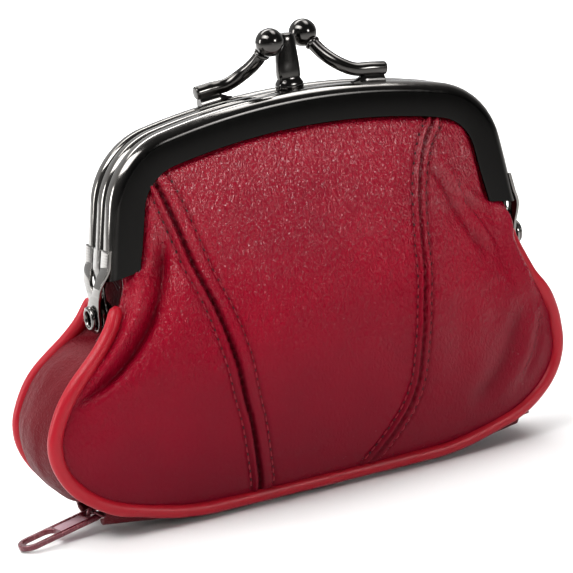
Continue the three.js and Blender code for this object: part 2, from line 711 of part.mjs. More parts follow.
// The pull's end bar lies on its hinge axis, inside the slider's eye.
function pull() {
  const outline = new THREE.Shape();
  outline.moveTo(0.45, -2.4);
  outline.lineTo(0.45, 2.4);
  outline.lineTo(-1.5, PULL_HALF);
  outline.lineTo(PULL_HALF - PULL_LENGTH, PULL_HALF);
  outline.absarc(PULL_HALF - PULL_LENGTH, 0, PULL_HALF, Math.PI / 2, Math.PI * 1.5, false);
  outline.lineTo(-1.5, -PULL_HALF);
  const slot = polygon([[-0.5, -1.6], [-0.5, 1.6], [-2.9, 1.6], [-2.9, -1.6]]);
  const finger = new THREE.Path();
  finger.absarc(PULL_HALF - PULL_LENGTH + 0.4, 0, 1.7, Math.PI / 2, Math.PI * 1.5, false);
  finger.lineTo(-11.6, -1.7);
  finger.absarc(-11.6, 0, 1.7, -Math.PI / 2, Math.PI / 2, false);
  outline.holes.push(slot, finger);
  const settings = { depth: PULL_THICK, bevelEnabled: false, curveSegments: 6 };
  const flat = weld(new THREE.ExtrudeGeometry(outline, settings).translate(0, 0, -PULL_THICK / 2));
  const hinge = new THREE.BufferGeometry().setFromPoints([new THREE.Vector3(EYE_X, 0, EYE_Z)]);
  const at = new THREE.Vector3().fromBufferAttribute(carried(hinge, SLIDER_X).getAttribute("position"), 0);
  return flat.rotateY(PULL_PITCH).rotateZ(PULL_YAW).translate(at.x, at.y, at.z);
}

// ---------------------------------------------------------------- assembly
part("middle_frame", middleFrame(), GUNMETAL);
part("clasp_post", post(), GUNMETAL);
part("left_rivet", rivet(-1), GUNMETAL);
part("right_rivet", rivet(1), GUNMETAL);

const frontFrame = outerFrame();
part("front_frame", frontFrame, GUNMETAL);
part("rear_frame", turned(frontFrame), GUNMETAL);

const rearRod = rod(rodCurve(), ROD_RADIUS, 12);
part("rear_clasp_rod", rearRod, GUNMETAL);
part("front_clasp_rod", turned(rearRod), GUNMETAL);
part("rear_clasp_ball", ball(), GUNMETAL);
part("front_clasp_ball", turned(ball()), GUNMETAL);
part("rear_clasp_foot", claspFoot(), GUNMETAL);
part("front_clasp_foot", turned(claspFoot()), GUNMETAL);

for (const [end, side] of [["front", 1], ["rear", -1]]) {
  for (const [name, piece] of Object.entries(PIECES)) {
    part(`${end}_${name}_panel_upper`, upperPanel(piece, side), CRIMSON);
    part(`${end}_${name}_panel_lower`, lowerPanel(piece, side), CRIMSON);
  }
  part(`${end}_lining`, lining(side), LINING);
  part(`${end}_divider`, divider(side), LINING);
  part(`${end}_piping`, piping(side), PIPING_RED);
  part(`${end}_zip_facing`, facing(side), DARK_CRIMSON);
  part(`${end}_zip_tape`, tape(side), BURGUNDY_CLOTH);
  part(`${end}_zip_coil`, coil(side), BURGUNDY_CLOTH);
}
part("left_gusset", gusset(-1), DARK_CRIMSON);
part("right_gusset", gusset(1), DARK_CRIMSON);
part("zip_stop", zipStop(), BURGUNDY_METAL);
part("zip_slider", slider(), BURGUNDY_METAL);
part("zip_pull", pull(), BURGUNDY_METAL);

purse.position.set(-ORIGIN_X, -ORIGIN_Y, 0);
const object = new THREE.Group();
object.add(purse);

export default object;
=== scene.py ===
"""The coin purse's looks. Lengths are worked out in millimetres about the line midway between the
rivets (x to the right, y to the back, z up from the table), and Row() turns them into the CAD frame."""

import math

import bmesh
import bpy
import numpy as np
from mathutils import Matrix, Vector


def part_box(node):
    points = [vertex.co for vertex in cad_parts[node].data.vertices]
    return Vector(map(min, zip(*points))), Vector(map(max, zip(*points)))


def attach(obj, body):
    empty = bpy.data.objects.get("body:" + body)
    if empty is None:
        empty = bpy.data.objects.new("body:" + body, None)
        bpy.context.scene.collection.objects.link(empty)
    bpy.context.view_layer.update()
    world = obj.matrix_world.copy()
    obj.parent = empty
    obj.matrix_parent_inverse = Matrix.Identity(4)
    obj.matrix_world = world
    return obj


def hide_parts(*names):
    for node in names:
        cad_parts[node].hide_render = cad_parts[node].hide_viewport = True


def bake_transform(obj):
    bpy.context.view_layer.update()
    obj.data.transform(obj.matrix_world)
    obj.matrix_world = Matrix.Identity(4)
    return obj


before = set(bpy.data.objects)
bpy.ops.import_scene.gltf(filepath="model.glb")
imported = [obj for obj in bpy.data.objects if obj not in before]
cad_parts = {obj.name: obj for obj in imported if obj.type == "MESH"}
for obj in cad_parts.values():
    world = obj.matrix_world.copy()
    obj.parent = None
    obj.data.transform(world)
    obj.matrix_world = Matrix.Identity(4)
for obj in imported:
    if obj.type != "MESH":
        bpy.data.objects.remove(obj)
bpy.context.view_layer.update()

MM = 0.001
MIDDLE = sum((c for name in ("left_rivet", "right_rivet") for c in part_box(name)), Vector()) / 4
PIVOT_Z = MIDDLE.z / MM


def Row(points):
    """Purse millimetres to the CAD frame's metres."""
    points = np.asarray(points, float)
    return points * MM + np.array([MIDDLE.x, MIDDLE.y, 0])


# ---- camera
AZIMUTH, ELEVATION, ROLL = (math.radians(a) for a in (-25, 12.2, 6.2))
CAMERA_TARGET, CAMERA_DISTANCE = [-5.9, 0, 42.0], 500
FOCAL_PIXELS, IMAGE_PIXELS, SENSOR = 2442, 573, 36


def link(name, data):
    """A new object in the scene."""
    made = bpy.data.objects.new(name, data)
    bpy.context.scene.collection.objects.link(made)
    return made


def make_camera():
    flat = math.cos(ELEVATION)
    back = Vector((math.sin(AZIMUTH) * flat, -math.cos(AZIMUTH) * flat, math.sin(ELEVATION)))
    right = (-back).cross(Vector((0, 0, 1))).normalized()
    up = back.cross(right)
    rolled = math.cos(ROLL) * right - math.sin(ROLL) * up
    upright = math.sin(ROLL) * right + math.cos(ROLL) * up
    data = bpy.data.cameras.new("camera")
    data.sensor_width = SENSOR
    data.lens = SENSOR * FOCAL_PIXELS / IMAGE_PIXELS
    data.clip_start, data.clip_end = 0.02, 50
    camera = link("camera", data)
    place = Matrix((rolled, upright, back)).transposed().to_4x4()
    place.translation = Vector(Row(CAMERA_TARGET)) + back * CAMERA_DISTANCE * MM
    camera.matrix_world = place
    bpy.context.scene.camera = camera


# ---- small maths
def ease(x, a, b):
    """0 up to a, 1 from b on, and a smooth step between them."""
    t = np.clip((np.asarray(x, float) - a) / (b - a), 0, 1)
    return t * t * (3 - 2 * t)


def mix(a, b, t):
    return a + (b - a) * t


def bezier(points, count):
    t = np.linspace(0, 1, count + 1)[:, None]
    p = np.array(points, float)
    return (1 - t) ** 3 * p[0] + 3 * (1 - t) ** 2 * t * p[1] + 3 * (1 - t) * t * t * p[2] + t**3 * p[3]


def circle(count):
    return np.linspace(0, 2 * math.pi, count, endpoint=False)


def lengths(line):
    """How far along the line each of its points is."""
    return np.concatenate([[0], np.cumsum(np.linalg.norm(np.diff(line, axis=0), axis=1))])


def bell(x, middle, width):
    return np.exp(-(((x - middle) / width) ** 2))


def unit(vectors):
    return vectors / np.linalg.norm(vectors, axis=-1)[..., None]


def smooth_curve(points, count):
    """A centripetal Catmull-Rom curve through points, sampled evenly."""
    p = np.array(points, float)
    p = np.concatenate([[2 * p[0] - p[1]], p, [2 * p[-1] - p[-2]]])
    knots = np.concatenate([[0], np.cumsum(np.linalg.norm(np.diff(p, axis=0), axis=1) ** 0.5)])
    made = []

    def between(t, start, end, a, b):
        return (end - t) / (end - start) * a + (t - start) / (end - start) * b

    for i in range(len(p) - 3):
        k, q = knots[i : i + 4], p[i : i + 4]
        for t in np.linspace(k[1], k[2], 24, endpoint=False):
            a = [between(t, k[j], k[j + 1], q[j], q[j + 1]) for j in range(3)]
            b = [between(t, k[j], k[j + 2], a[j], a[j + 1]) for j in range(2)]
            made.append(between(t, k[1], k[2], *b))
    made.append(p[-2])
    return even(np.array(made), count)


def even(line, count):
    """The same line with its points evenly spaced."""
    run = lengths(line)
    at = np.linspace(0, run[-1], count)
    return np.stack([np.interp(at, run, line[:, k]) for k in range(line.shape[1])], 1)


def within(points, low, high):
    return ((points > low) & (points < high)).all(1)


def near_line(x, z, line, reach=8.0):
    """Signed distance from each point to a line in the x-z plane (positive on its left), and the share
    of the line's length where it is nearest. Points further off than reach all count as far away."""
    line = np.asarray(line, float)
    shape = np.shape(x)
    x, z = np.ravel(x), np.ravel(z)
    everywhere = np.stack([x, z], 1)
    close = within(everywhere, line.min(0) - reach, line.max(0) + reach)
    p = everywhere[close]
    run = lengths(line)
    best = np.full(len(p), 1e3)
    sign = np.ones(len(p))
    share = np.full(len(p), 0.5)
    for i in range(len(line) - 1):
        a, d = line[i], line[i + 1] - line[i]
        b = line[i + 1]
        k = np.flatnonzero(within(p, np.minimum(a, b) - reach, np.maximum(a, b) + reach))
        q = p[k]
        t = np.clip(((q - a) @ d) / max(d @ d, 1e-9), 0, 1)
        away = q - a - t[:, None] * d
        far = np.hypot(away[:, 0], away[:, 1])
        closer = far < best[k]
        k, t, away = k[closer], t[closer], away[closer]
        best[k] = far[closer]
        sign[k] = np.where(d[0] * away[:, 1] - d[1] * away[:, 0] < 0, -1, 1)
        share[k] = (run[i] + t * math.hypot(*d)) / run[-1]
    distance, along = np.full(len(x), 1e3), np.full(len(x), 0.5)
    distance[close] = best * sign
    along[close] = share
    return distance.reshape(shape), along.reshape(shape)


def lumps(x, y, size, seed):
    """Smooth unevenness between about -1 and 1, with features of the given size."""
    waves = np.random.default_rng(seed)
    total = 0
    for _ in range(9):
        turn = waves.uniform(0, 2 * math.pi)
        k = 2 * math.pi / (size * waves.uniform(0.7, 1.6))
        total += np.sin(k * (np.cos(turn) * x + np.sin(turn) * y) + waves.uniform(0, 6.3))
    return total / 4


# ---- mesh helpers
def new_object(name, vertices, faces, materials, second=None, crisp=180):
    """A smooth mesh whose faces meet in sharp edges at angles from crisp degrees up. Faces in the
    slice called second have the second material."""
    mesh = bpy.data.meshes.new(name)
    mesh.from_pydata([tuple(v) for v in Row(vertices)], [], [tuple(int(i) for i in f) for f in faces])
    mesh.validate()
    for m in materials if isinstance(materials, (list, tuple)) else [materials]:
        mesh.materials.append(m)
    if second is not None:
        kind = np.zeros(len(faces), np.int32)
        kind[second] = 1
        mesh.polygons.foreach_set("material_index", kind)
    made = bmesh.new()
    made.from_mesh(mesh)
    bmesh.ops.recalc_face_normals(made, faces=made.faces)
    for edge in made.edges if crisp < 180 else ():
        if len(edge.link_faces) == 2:
            edge.smooth = edge.calc_face_angle(0) < math.radians(crisp)
    made.to_mesh(mesh)
    made.free()
    mesh.polygons.foreach_set("use_smooth", np.ones(len(mesh.polygons), bool))
    return link(name, mesh)


def settle(piece, slot, body, *replaced, bends=False):
    """Hides what a piece replaces, and hangs the piece on its body; a piece that bends has its place baked
    into its mesh instead. slot is not used.
    """
    if replaced:
        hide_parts(*replaced)
    if bends:
        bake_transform(piece)
    else:
        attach(piece, body)


def grid_faces(rows, columns, wrap_columns=False, wrap_rows=False):
    r = np.arange(rows if wrap_rows else rows - 1)
    c = np.arange(columns if wrap_columns else columns - 1)
    r, c = [q.ravel() for q in np.meshgrid(r, c, indexing="ij")]
    r1, c1 = (r + 1) % rows, (c + 1) % columns
    return np.stack([r * columns + c, r * columns + c1, r1 * columns + c1, r1 * columns + c], 1)


def capped(grid, turned=False):
    """Vertices and faces of a closed skin round a grid whose rows are rings, with its ends capped."""
    n, m = grid.shape[:2]
    first, last = list(range(m)), [(n - 1) * m + k for k in range(m)]
    caps = [first[::-1], last] if turned else [first, last[::-1]]
    return grid.reshape(-1, 3), [list(f) for f in grid_faces(n, m, wrap_columns=True)] + caps


def shell(outer, inner):
    """Vertices and faces of a closed skin between two grids of the same size, and which of its faces
    are on the inner one."""
    rows, columns = outer.shape[:2]
    n = rows * columns
    top = grid_faces(rows, columns)
    bottom = top[:, ::-1] + n
    index = np.arange(n).reshape(rows, columns)
    ring = np.concatenate([index[0], index[1:, -1], index[-1, -2::-1], index[-2:0:-1, 0]])
    after = np.roll(ring, -1)
    sides = np.stack([ring, ring + n, after + n, after], 1)
    vertices = np.concatenate([outer.reshape(-1, 3), inner.reshape(-1, 3)])
    return vertices, np.concatenate([top, bottom, sides]), slice(len(top), 2 * len(top))


def tube(path, radius, sides=16, squash=1.0):
    """Vertices and faces of a tube along a path; radius may be one number or one for each point."""
    path = np.asarray(path, float)
    radius = np.broadcast_to(np.asarray(radius, float), (len(path),))
    tangent = unit(np.gradient(path, axis=0))
    side = unit(np.cross(tangent[0], [0.1, 0.2, 1.0]))
    a = circle(sides)
    rings = []
    for point, r, way in zip(path, radius, tangent):
        side = unit(side - way * (side @ way))
        other = np.cross(way, side)
        rings.append(point + r * (np.cos(a)[:, None] * side + squash * np.sin(a)[:, None] * other))
    return capped(np.array(rings), True)


def rounded_tube(path, radius, sides=16, end=0.45):
    """A tube whose two ends are rounded off."""
    path = np.asarray(path, float)
    run = lengths(path)
    soft = end * radius
    inner = np.linspace(soft, run[-1] - soft, max(len(path), 3))
    turn = np.linspace(0, math.pi / 2, 5)
    head = soft * (1 - np.cos(turn[:-1]))
    at = np.concatenate([head, inner, run[-1] - head[::-1]])
    rim = radius - soft + soft * np.sin(turn[:-1])
    sizes = np.concatenate([rim, np.full(len(inner), radius), rim[::-1]])
    points = np.stack([np.interp(at, run, path[:, k]) for k in range(3)], 1)
    return tube(points, sizes, sides)


def gathered(pieces):
    """Several (vertices, faces) as one."""
    vertices, faces, base = [], [], 0
    for v, f in pieces:
        vertices.append(np.asarray(v, float))
        faces += [[int(i) + base for i in face] for face in f]
        base += len(v)
    return np.concatenate(vertices), faces


def turned_about(profile, segments, place):
    """A profile of (radius, along) turned about an axis; place maps (a, b, along) to a point."""
    turn = circle(segments)
    grid = np.array([[place(r * math.cos(t), r * math.sin(t), s) for t in turn] for r, s in profile])
    if tuple(profile[0]) != tuple(profile[-1]):
        return capped(grid, True)
    rings = len(profile) - 1
    faces = grid_faces(rings, segments, wrap_columns=True, wrap_rows=True)
    return grid[:-1].reshape(-1, 3), [list(f) for f in faces]


def plate(outline, holes, thickness, bevel, cuts=(), lift=0.0):
    """A bevelled plate: vertices (a, b, depth) and faces, from an outline and its holes. cuts are
    values of b where rows of vertices are added, so that the plate can be bent. lift is the depth of
    its middle."""
    data = bpy.data.curves.new("outline", "CURVE")
    data.dimensions = "2D"
    data.fill_mode = "BOTH"
    data.extrude = thickness / 2 - bevel
    data.bevel_depth = bevel
    data.bevel_resolution = 2
    data.offset = -bevel
    for line in [outline, *holes]:
        spline = data.splines.new("POLY")
        spline.points.add(len(line) - 1)
        for point, (a, b) in zip(spline.points, line):
            point.co = (a, b, 0, 1)
        spline.use_cyclic_u = True
    obj = link("outline", data)
    bpy.context.view_layer.update()
    mesh = bpy.data.meshes.new_from_object(obj.evaluated_get(bpy.context.evaluated_depsgraph_get()))
    bpy.data.objects.remove(obj)
    bpy.data.curves.remove(data)
    made = bmesh.new()
    made.from_mesh(mesh)
    bmesh.ops.remove_doubles(made, verts=made.verts, dist=1e-4)
    for b in cuts:
        everything = made.verts[:] + made.edges[:] + made.faces[:]
        bmesh.ops.bisect_plane(made, geom=everything, plane_co=(0, b, 0), plane_no=(0, 1, 0))
    bmesh.ops.recalc_face_normals(made, faces=made.faces)
    vertices = np.array([v.co for v in made.verts]) + [0, 0, lift]
    faces = [[v.index for v in f.verts] for f in made.faces]
    made.free()
    bpy.data.meshes.remove(mesh)
    return vertices, faces


def arc(cx, cy, r, start, end, count=12):
    a = np.radians(np.linspace(start, end, count))
    return [(cx + r * math.cos(t), cy + r * math.sin(t)) for t in a]


def store(obj, name, values):
    """Stores one number at each vertex, for the materials to read."""
    layer = obj.data.attributes.new(name, "FLOAT", "POINT")
    values = np.broadcast_to(np.asarray(values, np.float32), (len(obj.data.vertices),))
    layer.data.foreach_set("value", np.ascontiguousarray(values))


# ---- materials
class Nodes:
    """A short way to write a material's nodes."""

    def __init__(self, name):
        self.material = bpy.data.materials.new(name)
        self.material.use_nodes = True
        self.tree = self.material.node_tree
        self.tree.nodes.clear()
        self.out = self.tree.nodes.new("ShaderNodeOutputMaterial")
        self.shader = self.tree.nodes.new("ShaderNodeBsdfPrincipled")
        self.tree.links.new(self.shader.outputs[0], self.out.inputs[0])
        self.coords = self.tree.nodes.new("ShaderNodeTexCoord").outputs["Object"]

    def make(self, kind, inputs=(), **settings):
        node = self.tree.nodes.new("ShaderNode" + kind)
        for key, value in settings.items():
            setattr(node, key, value)
        for key, value in dict(inputs).items():
            self.put(node.inputs[key], value)
        return node

    def put(self, socket, value):
        """Links another node's output to a socket, or sets the socket to a plain value."""
        if isinstance(value, bpy.types.NodeSocket):
            self.tree.links.new(value, socket)
        else:
            socket.default_value = value

    def set(self, key, value):
        self.put(self.shader.inputs[key], value)

    def painted_on(self, name):
        """A number stored at each vertex of the mesh."""
        return self.make("Attribute", attribute_name=name).outputs["Fac"]

    def scaled(self, x, y, z, vector=None):
        inputs = {"Vector": vector or self.coords, "Scale": (x, y, z)}
        return self.make("Mapping", inputs).outputs[0]

    def noise(self, scale, detail=3, roughness=0.55, vector=None, output="Fac"):
        inputs = {"Vector": vector or self.coords, "Scale": scale, "Detail": detail, "Roughness": roughness}
        return self.make("TexNoise", inputs).outputs[output]

    def cells(self, scale, vector):
        inputs = {"Vector": vector, "Scale": scale}
        return self.make("TexVoronoi", inputs, feature="DISTANCE_TO_EDGE").outputs["Distance"]

    def fit(self, value, a, b, c=0.0, d=1.0, soft=False):
        inputs = {"Value": value, "From Min": a, "From Max": b, "To Min": c, "To Max": d}
        kind = "SMOOTHSTEP" if soft else "LINEAR"
        return self.make("MapRange", inputs, interpolation_type=kind).outputs[0]

    def math(self, operation, a, b):
        return self.make("Math", {0: a, 1: b}, operation=operation).outputs[0]

    def times(self, a, b):
        return self.math("MULTIPLY", a, b)

    def vectors(self, operation, inputs):
        return self.make("VectorMath", inputs, operation=operation).outputs[0]

    def blend(self, share, a, b):
        a, b = (c if isinstance(c, bpy.types.NodeSocket) else (*c, 1) for c in (a, b))
        return self.make("Mix", {0: share, 6: a, 7: b}, data_type="RGBA").outputs[2]

    def height(self):
        return self.make("SeparateXYZ", {"Vector": self.coords}).outputs["Z"]

    def bump(self, value, distance, strength=1.0, before=None):
        inputs = {"Height": value, "Distance": distance, "Strength": strength}
        if before is not None:
            inputs["Normal"] = before
        return self.make("Bump", inputs).outputs[0]


def warped(n, amount, scale):
    """Coordinates shaken by noise, so that cells look grown and not drawn."""
    shake = n.noise(scale, 2, 0.5, output="Color")
    centred = n.vectors("SUBTRACT", {0: shake, 1: (0.5, 0.5, 0.5)})
    small = n.vectors("SCALE", {0: centred, "Scale": amount})
    return n.vectors("ADD", {0: n.coords, 1: small})


def leather(name, light, dark, grain=1.0, gloss=0.2, stretch=0.5, shine=0.58, low_shine=0.1):
    """Dyed lambskin: creased grain that is strong above and finer below, its colour painted darker
    towards the ground as painted shade, and duller there. The number stored at each vertex paints shade
    into its seams and deep folds."""
    n = Nodes(name)
    tall = n.scaled(1, 1, stretch, warped(n, 0.0005, 600))
    coarse = n.fit(n.cells(1050, tall), 0.0, 0.36, soft=True)
    fine = n.fit(n.cells(2500, tall), 0.0, 0.4)
    rise = n.math("ADD", n.height(), n.fit(n.noise(38, 2), 0, 1, -0.012, 0.012))
    upper = n.fit(rise, 0.016, 0.044, 0.0, 1.0, soft=True)
    patchy = n.fit(n.noise(90, 3), 0.3, 0.7, 0.6, 1.0)
    strength = n.times(n.fit(upper, 0, 1, 0.34, 1), patchy)
    both = n.math("ADD", n.times(coarse, 0.62), n.times(fine, 0.38))
    bumps = n.bump(n.times(both, strength), 0.00028 * grain, 1.0)
    bumps = n.bump(n.noise(420, 3), 0.00008, 0.4, bumps)
    n.set("Normal", n.bump(n.noise(5200, 2), 0.000004, 0.5, bumps))
    tone = n.fit(n.noise(48, 4), 0.28, 0.72, 0.55, 1.0)
    tone = n.times(tone, n.fit(n.times(both, strength), 0, 0.7, 0.8, 1.0))
    # painted shade: the colour darkens towards the ground
    tone = n.times(tone, n.fit(n.height(), 0.0, 0.052, 0.18, 1.0, soft=True))
    painted_groove_shade = n.painted_on("painted_groove_shade")
    # painted shade in the seams and deep folds, from the number stored at each vertex
    n.set("Base Color", n.blend(n.times(painted_groove_shade, 0.85), n.blend(tone, dark, light), SEAM_PAINTED_SHADE))
    n.set("Roughness", n.fit(n.noise(1100, 3), 0.25, 0.75, gloss - 0.05, gloss + 0.08))
    level = n.fit(n.height(), 0.036, 0.076, low_shine, shine, soft=True)
    n.set("Specular IOR Level", 0.5 * shine)  # the socket's own value, kept under the link below; what the export falls back to
    n.set("Specular IOR Level", n.times(level, n.fit(painted_groove_shade, 0, 1, 1, 0.2)))
    return n.material


def cloth(name, light, dark, threads=1500, lift=0.00012, sheen=0.25):
    n = Nodes(name)
    waves = []
    for x, y, z in ((1, 0, 0.05), (0.05, 1, 1)):
        inputs = {"Scale": threads / 6.3, "Distortion": 0.8, "Detail": 1, "Detail Scale": 2}
        inputs["Vector"] = n.scaled(x, y, z)
        waves.append(n.make("TexWave", inputs, bands_direction="DIAGONAL").outputs["Fac"])
    weave = n.times(*waves)
    n.set("Normal", n.bump(weave, lift, 0.8))
    tone = n.times(n.fit(weave, 0, 1, 0.5, 1), n.fit(n.noise(160, 3), 0.2, 0.8, 0.5, 1))
    n.set("Base Color", n.blend(tone, dark, light))
    n.set("Roughness", n.fit(n.noise(700, 2), 0, 1, 0.75, 0.95))
    n.set("Sheen Weight", sheen)
    return n.material


def plated(name, colour, painted_sheen, rough=0.12):
    """Polished plated metal. Its base colour is a painted reflection: dark, and painted bright as far as
    the number stored at each vertex says.
    """
    n = Nodes(name)
    rub = n.noise(900, 5, 0.7, n.scaled(1, 1, 0.18))
    cloud = n.fit(n.noise(120, 3), 0.3, 0.7, 0.75, 1.0)
    # painted reflection: the stored number brightens the base colour
    bright = n.times(n.painted_on("painted_sheen_share"), n.times(cloud, n.fit(rub, 0.2, 0.8, 0.85, 1.0)))
    n.set("Base Color", n.blend(bright, colour, painted_sheen))
    n.set("Roughness", n.fit(rub, 0.3, 0.75, rough - 0.04, rough + 0.06))
    n.set("Normal", n.bump(n.noise(1400, 4, 0.6, n.scaled(1, 1, 0.3)), 0.000004, 0.35))
    n.set("Metallic", 1.0)
    return n.material


def painted(name, light, dark, rough=0.2, coat=0.5, metallic=0.35):
    n = Nodes(name)
    n.set("Base Color", n.blend(n.fit(n.noise(260, 4), 0.3, 0.7), dark, light))
    n.set("Roughness", n.fit(n.noise(800, 3), 0.2, 0.8, rough, rough + 0.14))
    n.set("Normal", n.bump(n.noise(1500, 3), 0.00003, 0.4))
    n.set("Metallic", metallic)
    n.set("Coat Weight", coat)
    n.set("Coat Roughness", 0.12)
    return n.material


# the colour of the painted shade in the seams and deep folds
SEAM_PAINTED_SHADE = (0.012, 0.0012, 0.002)
LEATHER = leather("crimson_leather", (0.3, 0.0016, 0.0155), (0.1, 0.001, 0.0075))
GUSSET_LEATHER = leather("gusset_leather", (0.15, 0.003, 0.009), (0.06, 0.002, 0.005), 0.7, 0.5, 0.9, 0.25)
PIPING = leather(
    "piping_leather", (0.36, 0.005, 0.016), (0.3, 0.004, 0.012), 0.12, 0.36, 1.0, 0.25, low_shine=0.25
)
LINING = cloth("lining_cloth", (0.11, 0.012, 0.02), (0.045, 0.006, 0.01))
TAPE = cloth("zip_tape_cloth", (0.16, 0.012, 0.024), (0.06, 0.006, 0.012), 2600, 0.00008)
THREAD = cloth("thread", (0.34, 0.004, 0.02), (0.15, 0.002, 0.01), 5200, 0.00005, 0.0)
# near black pits at the needle holes: painted shade
NEEDLE_HOLE_SHADE = cloth("needle_hole_shade", (0.02, 0.0015, 0.003), (0.006, 0.0008, 0.001), 5200, 0.00005, 0.0)
METAL = plated("black_nickel", (0.013, 0.0125, 0.012), (0.24, 0.228, 0.216))
PAINT = painted("burgundy_paint", (0.17, 0.018, 0.03), (0.09, 0.01, 0.018))
SATIN = painted("burgundy_satin", (0.5, 0.34, 0.38), (0.42, 0.26, 0.3), 0.34, 0.2, 0.2)
COIL = painted("burgundy_nylon", (0.13, 0.012, 0.022), (0.07, 0.008, 0.014))


# ---- the purse's own curves
# The frames' outline: a shallow arc on top, rounded corners and two arms that lean inwards.
ARCH_TOP_Z, ARCH_TOP_R, ARCH_CORNER_R = 82.3, 146.0, 16.5
ARM_END = np.array([46.6, 53.8])
LEAN = math.radians(10.5)
CHANNEL_DEPTH, TUCKED = 7.2, 3.6  # how deep the frames' channels are, and the leather in them
SEWN_Z, HELD_Z = 46, 54  # the leather is sewn to the gusset below, and held by its frame above
SWAY_X, SWAY_Y = -4.7, 3.0  # how far the purse's bottom hangs out of line with its frame
UP = np.array([-math.sin(LEAN), math.cos(LEAN)])
INWARD = np.array([-UP[1], UP[0]])
TOP_CENTRE = np.array([0, ARCH_TOP_Z - ARCH_TOP_R])


def corner_centre():
    foot = ARM_END + INWARD * ARCH_CORNER_R - TOP_CENTRE
    along = foot @ UP
    reach = ARCH_TOP_R - ARCH_CORNER_R
    travel = -along + math.sqrt(along * along - foot @ foot + reach * reach)
    return foot + UP * travel + TOP_CENTRE


CORNER = corner_centre()
MEET = math.atan2(*(CORNER - TOP_CENTRE)[::-1])


def arch(depth, low=0.0, count=60):
    """Right half of the frames' outline, set in by depth: from the top middle down to the arm's end,
    and on below it by low."""
    a = np.linspace(math.pi / 2, MEET, count)
    b = np.linspace(MEET, LEAN, count // 2)[1:]
    top = TOP_CENTRE + (ARCH_TOP_R - depth) * np.stack([np.cos(a), np.sin(a)], 1)
    corner = CORNER + (ARCH_CORNER_R - depth) * np.stack([np.cos(b), np.sin(b)], 1)
    end = ARM_END + INWARD * depth - UP * low
    arm = mix(corner[-1], end, np.linspace(0, 1, 12)[1:, None])
    return np.concatenate([top, corner, arm])


def mirrored(right):
    """A line's mirror image from its far end, and then the line itself."""
    return np.concatenate([right[::-1] * [-1, 1], right])


def arch_half(z, depth):
    line = arch(depth)
    return np.interp(z, line[::-1, 1], line[::-1, 0]) + np.maximum(line[-1, 1] - z, 0) * math.tan(LEAN)


def arch_height(x, depth):
    line = arch(depth)
    return np.interp(np.abs(x), line[:, 0], line[:, 1])


# The line where panel and gusset are sewn together, from the right rivet down to the bottom.
SEAM_CURVES = [
    [[44.6, 46.5], [45.4, 42.6], [48.3, 38.2], [52.1, 34]],
    [[52.1, 34], [55.3, 30.4], [57.6, 25.5], [57.6, 20.5]],
    [[57.6, 20.5], [57.6, 13.5], [50.5, 7.2], [42.5, 5.4]],
    [[42.5, 5.4], [36, 3.6], [31, 2.3], [25, 2.3]],
]
SEAM = np.concatenate([bezier(c, 16)[1 if i else 0 :] for i, c in enumerate(SEAM_CURVES)])
# (height, how far the leather stands from the middle plane halfway across)
BILLOW_POINTS = [
    [0, 8.4], [2, 9.6], [5, 12.2], [11, 15], [19, 17.4], [29, 18.7], [37, 17.8], [44, 16.4], [56, 14.2],
    [66, 11.0], [72, 8.0], [75.2, 6.5], [80, 5],
]
BILLOW = smooth_curve(BILLOW_POINTS, 300)


def sway(z):
    return ease(SEWN_Z - np.asarray(z, float), 0, 24)


def gusset_half(z):
    """Half the distance between the pipings: the gusset narrows towards the rivets."""
    return mix(10.0, 7.0, ease(z, 30, SEWN_Z))


def seam_half(z):
    return np.interp(z, SEAM[::-1, 1], SEAM[::-1, 0])


def shoulder(x, z):
    """How much further to the left than the sway takes them the purse's two shoulders hang."""
    share = np.clip(np.abs(x) / seam_half(np.minimum(z, SEWN_Z)), 0, 1)
    return 1.5 * ease(z, 25, 36) * (1 - ease(z, 44, 50)) * share**2


def billow(z):
    return np.interp(z, BILLOW[:, 0], BILLOW[:, 1])


def joined(x, y, z):
    return np.stack(np.broadcast_arrays(x, y, z), -1)


def hang(x, z):
    """How far the purse's sway and its shoulders carry the point at x, z of an upright purse."""
    return joined(SWAY_X * sway(z) - shoulder(x, z), SWAY_Y * sway(z), 0.0)


def puffed(x, z):
    """How far the leather stands from the middle plane, before its folds."""
    t = ease(z, SEWN_Z, HELD_Z)
    half = mix(seam_half(np.minimum(z, SEWN_Z + 1)), np.maximum(arch_half(z, CHANNEL_DEPTH), 0.5), t)
    edge = mix(gusset_half(z), 5.9, t)
    share = np.clip(np.abs(x) / half, 0, 1)
    out = edge + (np.maximum(billow(z), edge) - edge) * (1 - share**2.4) ** 0.85
    depth = np.minimum(arch_half(z, 0) - np.abs(x), arch_height(x, 0) - z)
    held = ease(z, 50, HELD_Z) * (1 - ease(depth, CHANNEL_DEPTH - 0.9, CHANNEL_DEPTH + 1.5))
    return mix(out, 4.6, held)


# Features of a panel, as lines in its own x-z plane, top first.
LEFT_POINTS = [
    [-37.5, 76], [-34.6, 69.6], [-32.6, 62.6], [-31, 55.6], [-29.7, 49.7], [-28.1, 44.6], [-25.6, 38.5],
    [-22.1, 31.2], [-19, 22.4], [-17.4, 13.3], [-15.6, 3],
]
RIGHT_POINTS = [
    [30.5, 77], [28.6, 71.9], [25.5, 69], [22.5, 64.5], [20.4, 58.9], [19.2, 53], [18.3, 47.2],
    [18.3, 39.2], [19.5, 30.9], [20.1, 22.5], [18.1, 16.3], [15, 11.3], [10.3, 5.4], [8.5, 3],
]
LEFT_SEAM, RIGHT_SEAM = smooth_curve(LEFT_POINTS, 60), smooth_curve(RIGHT_POINTS, 60)
DEEP_FOLD = [
    [-35.0, 62], [-35.5, 55.5], [-37.2, 50], [-39.6, 45], [-42.6, 40], [-46.4, 35.2], [-50.4, 31.2],
    [-54, 28.2],
]
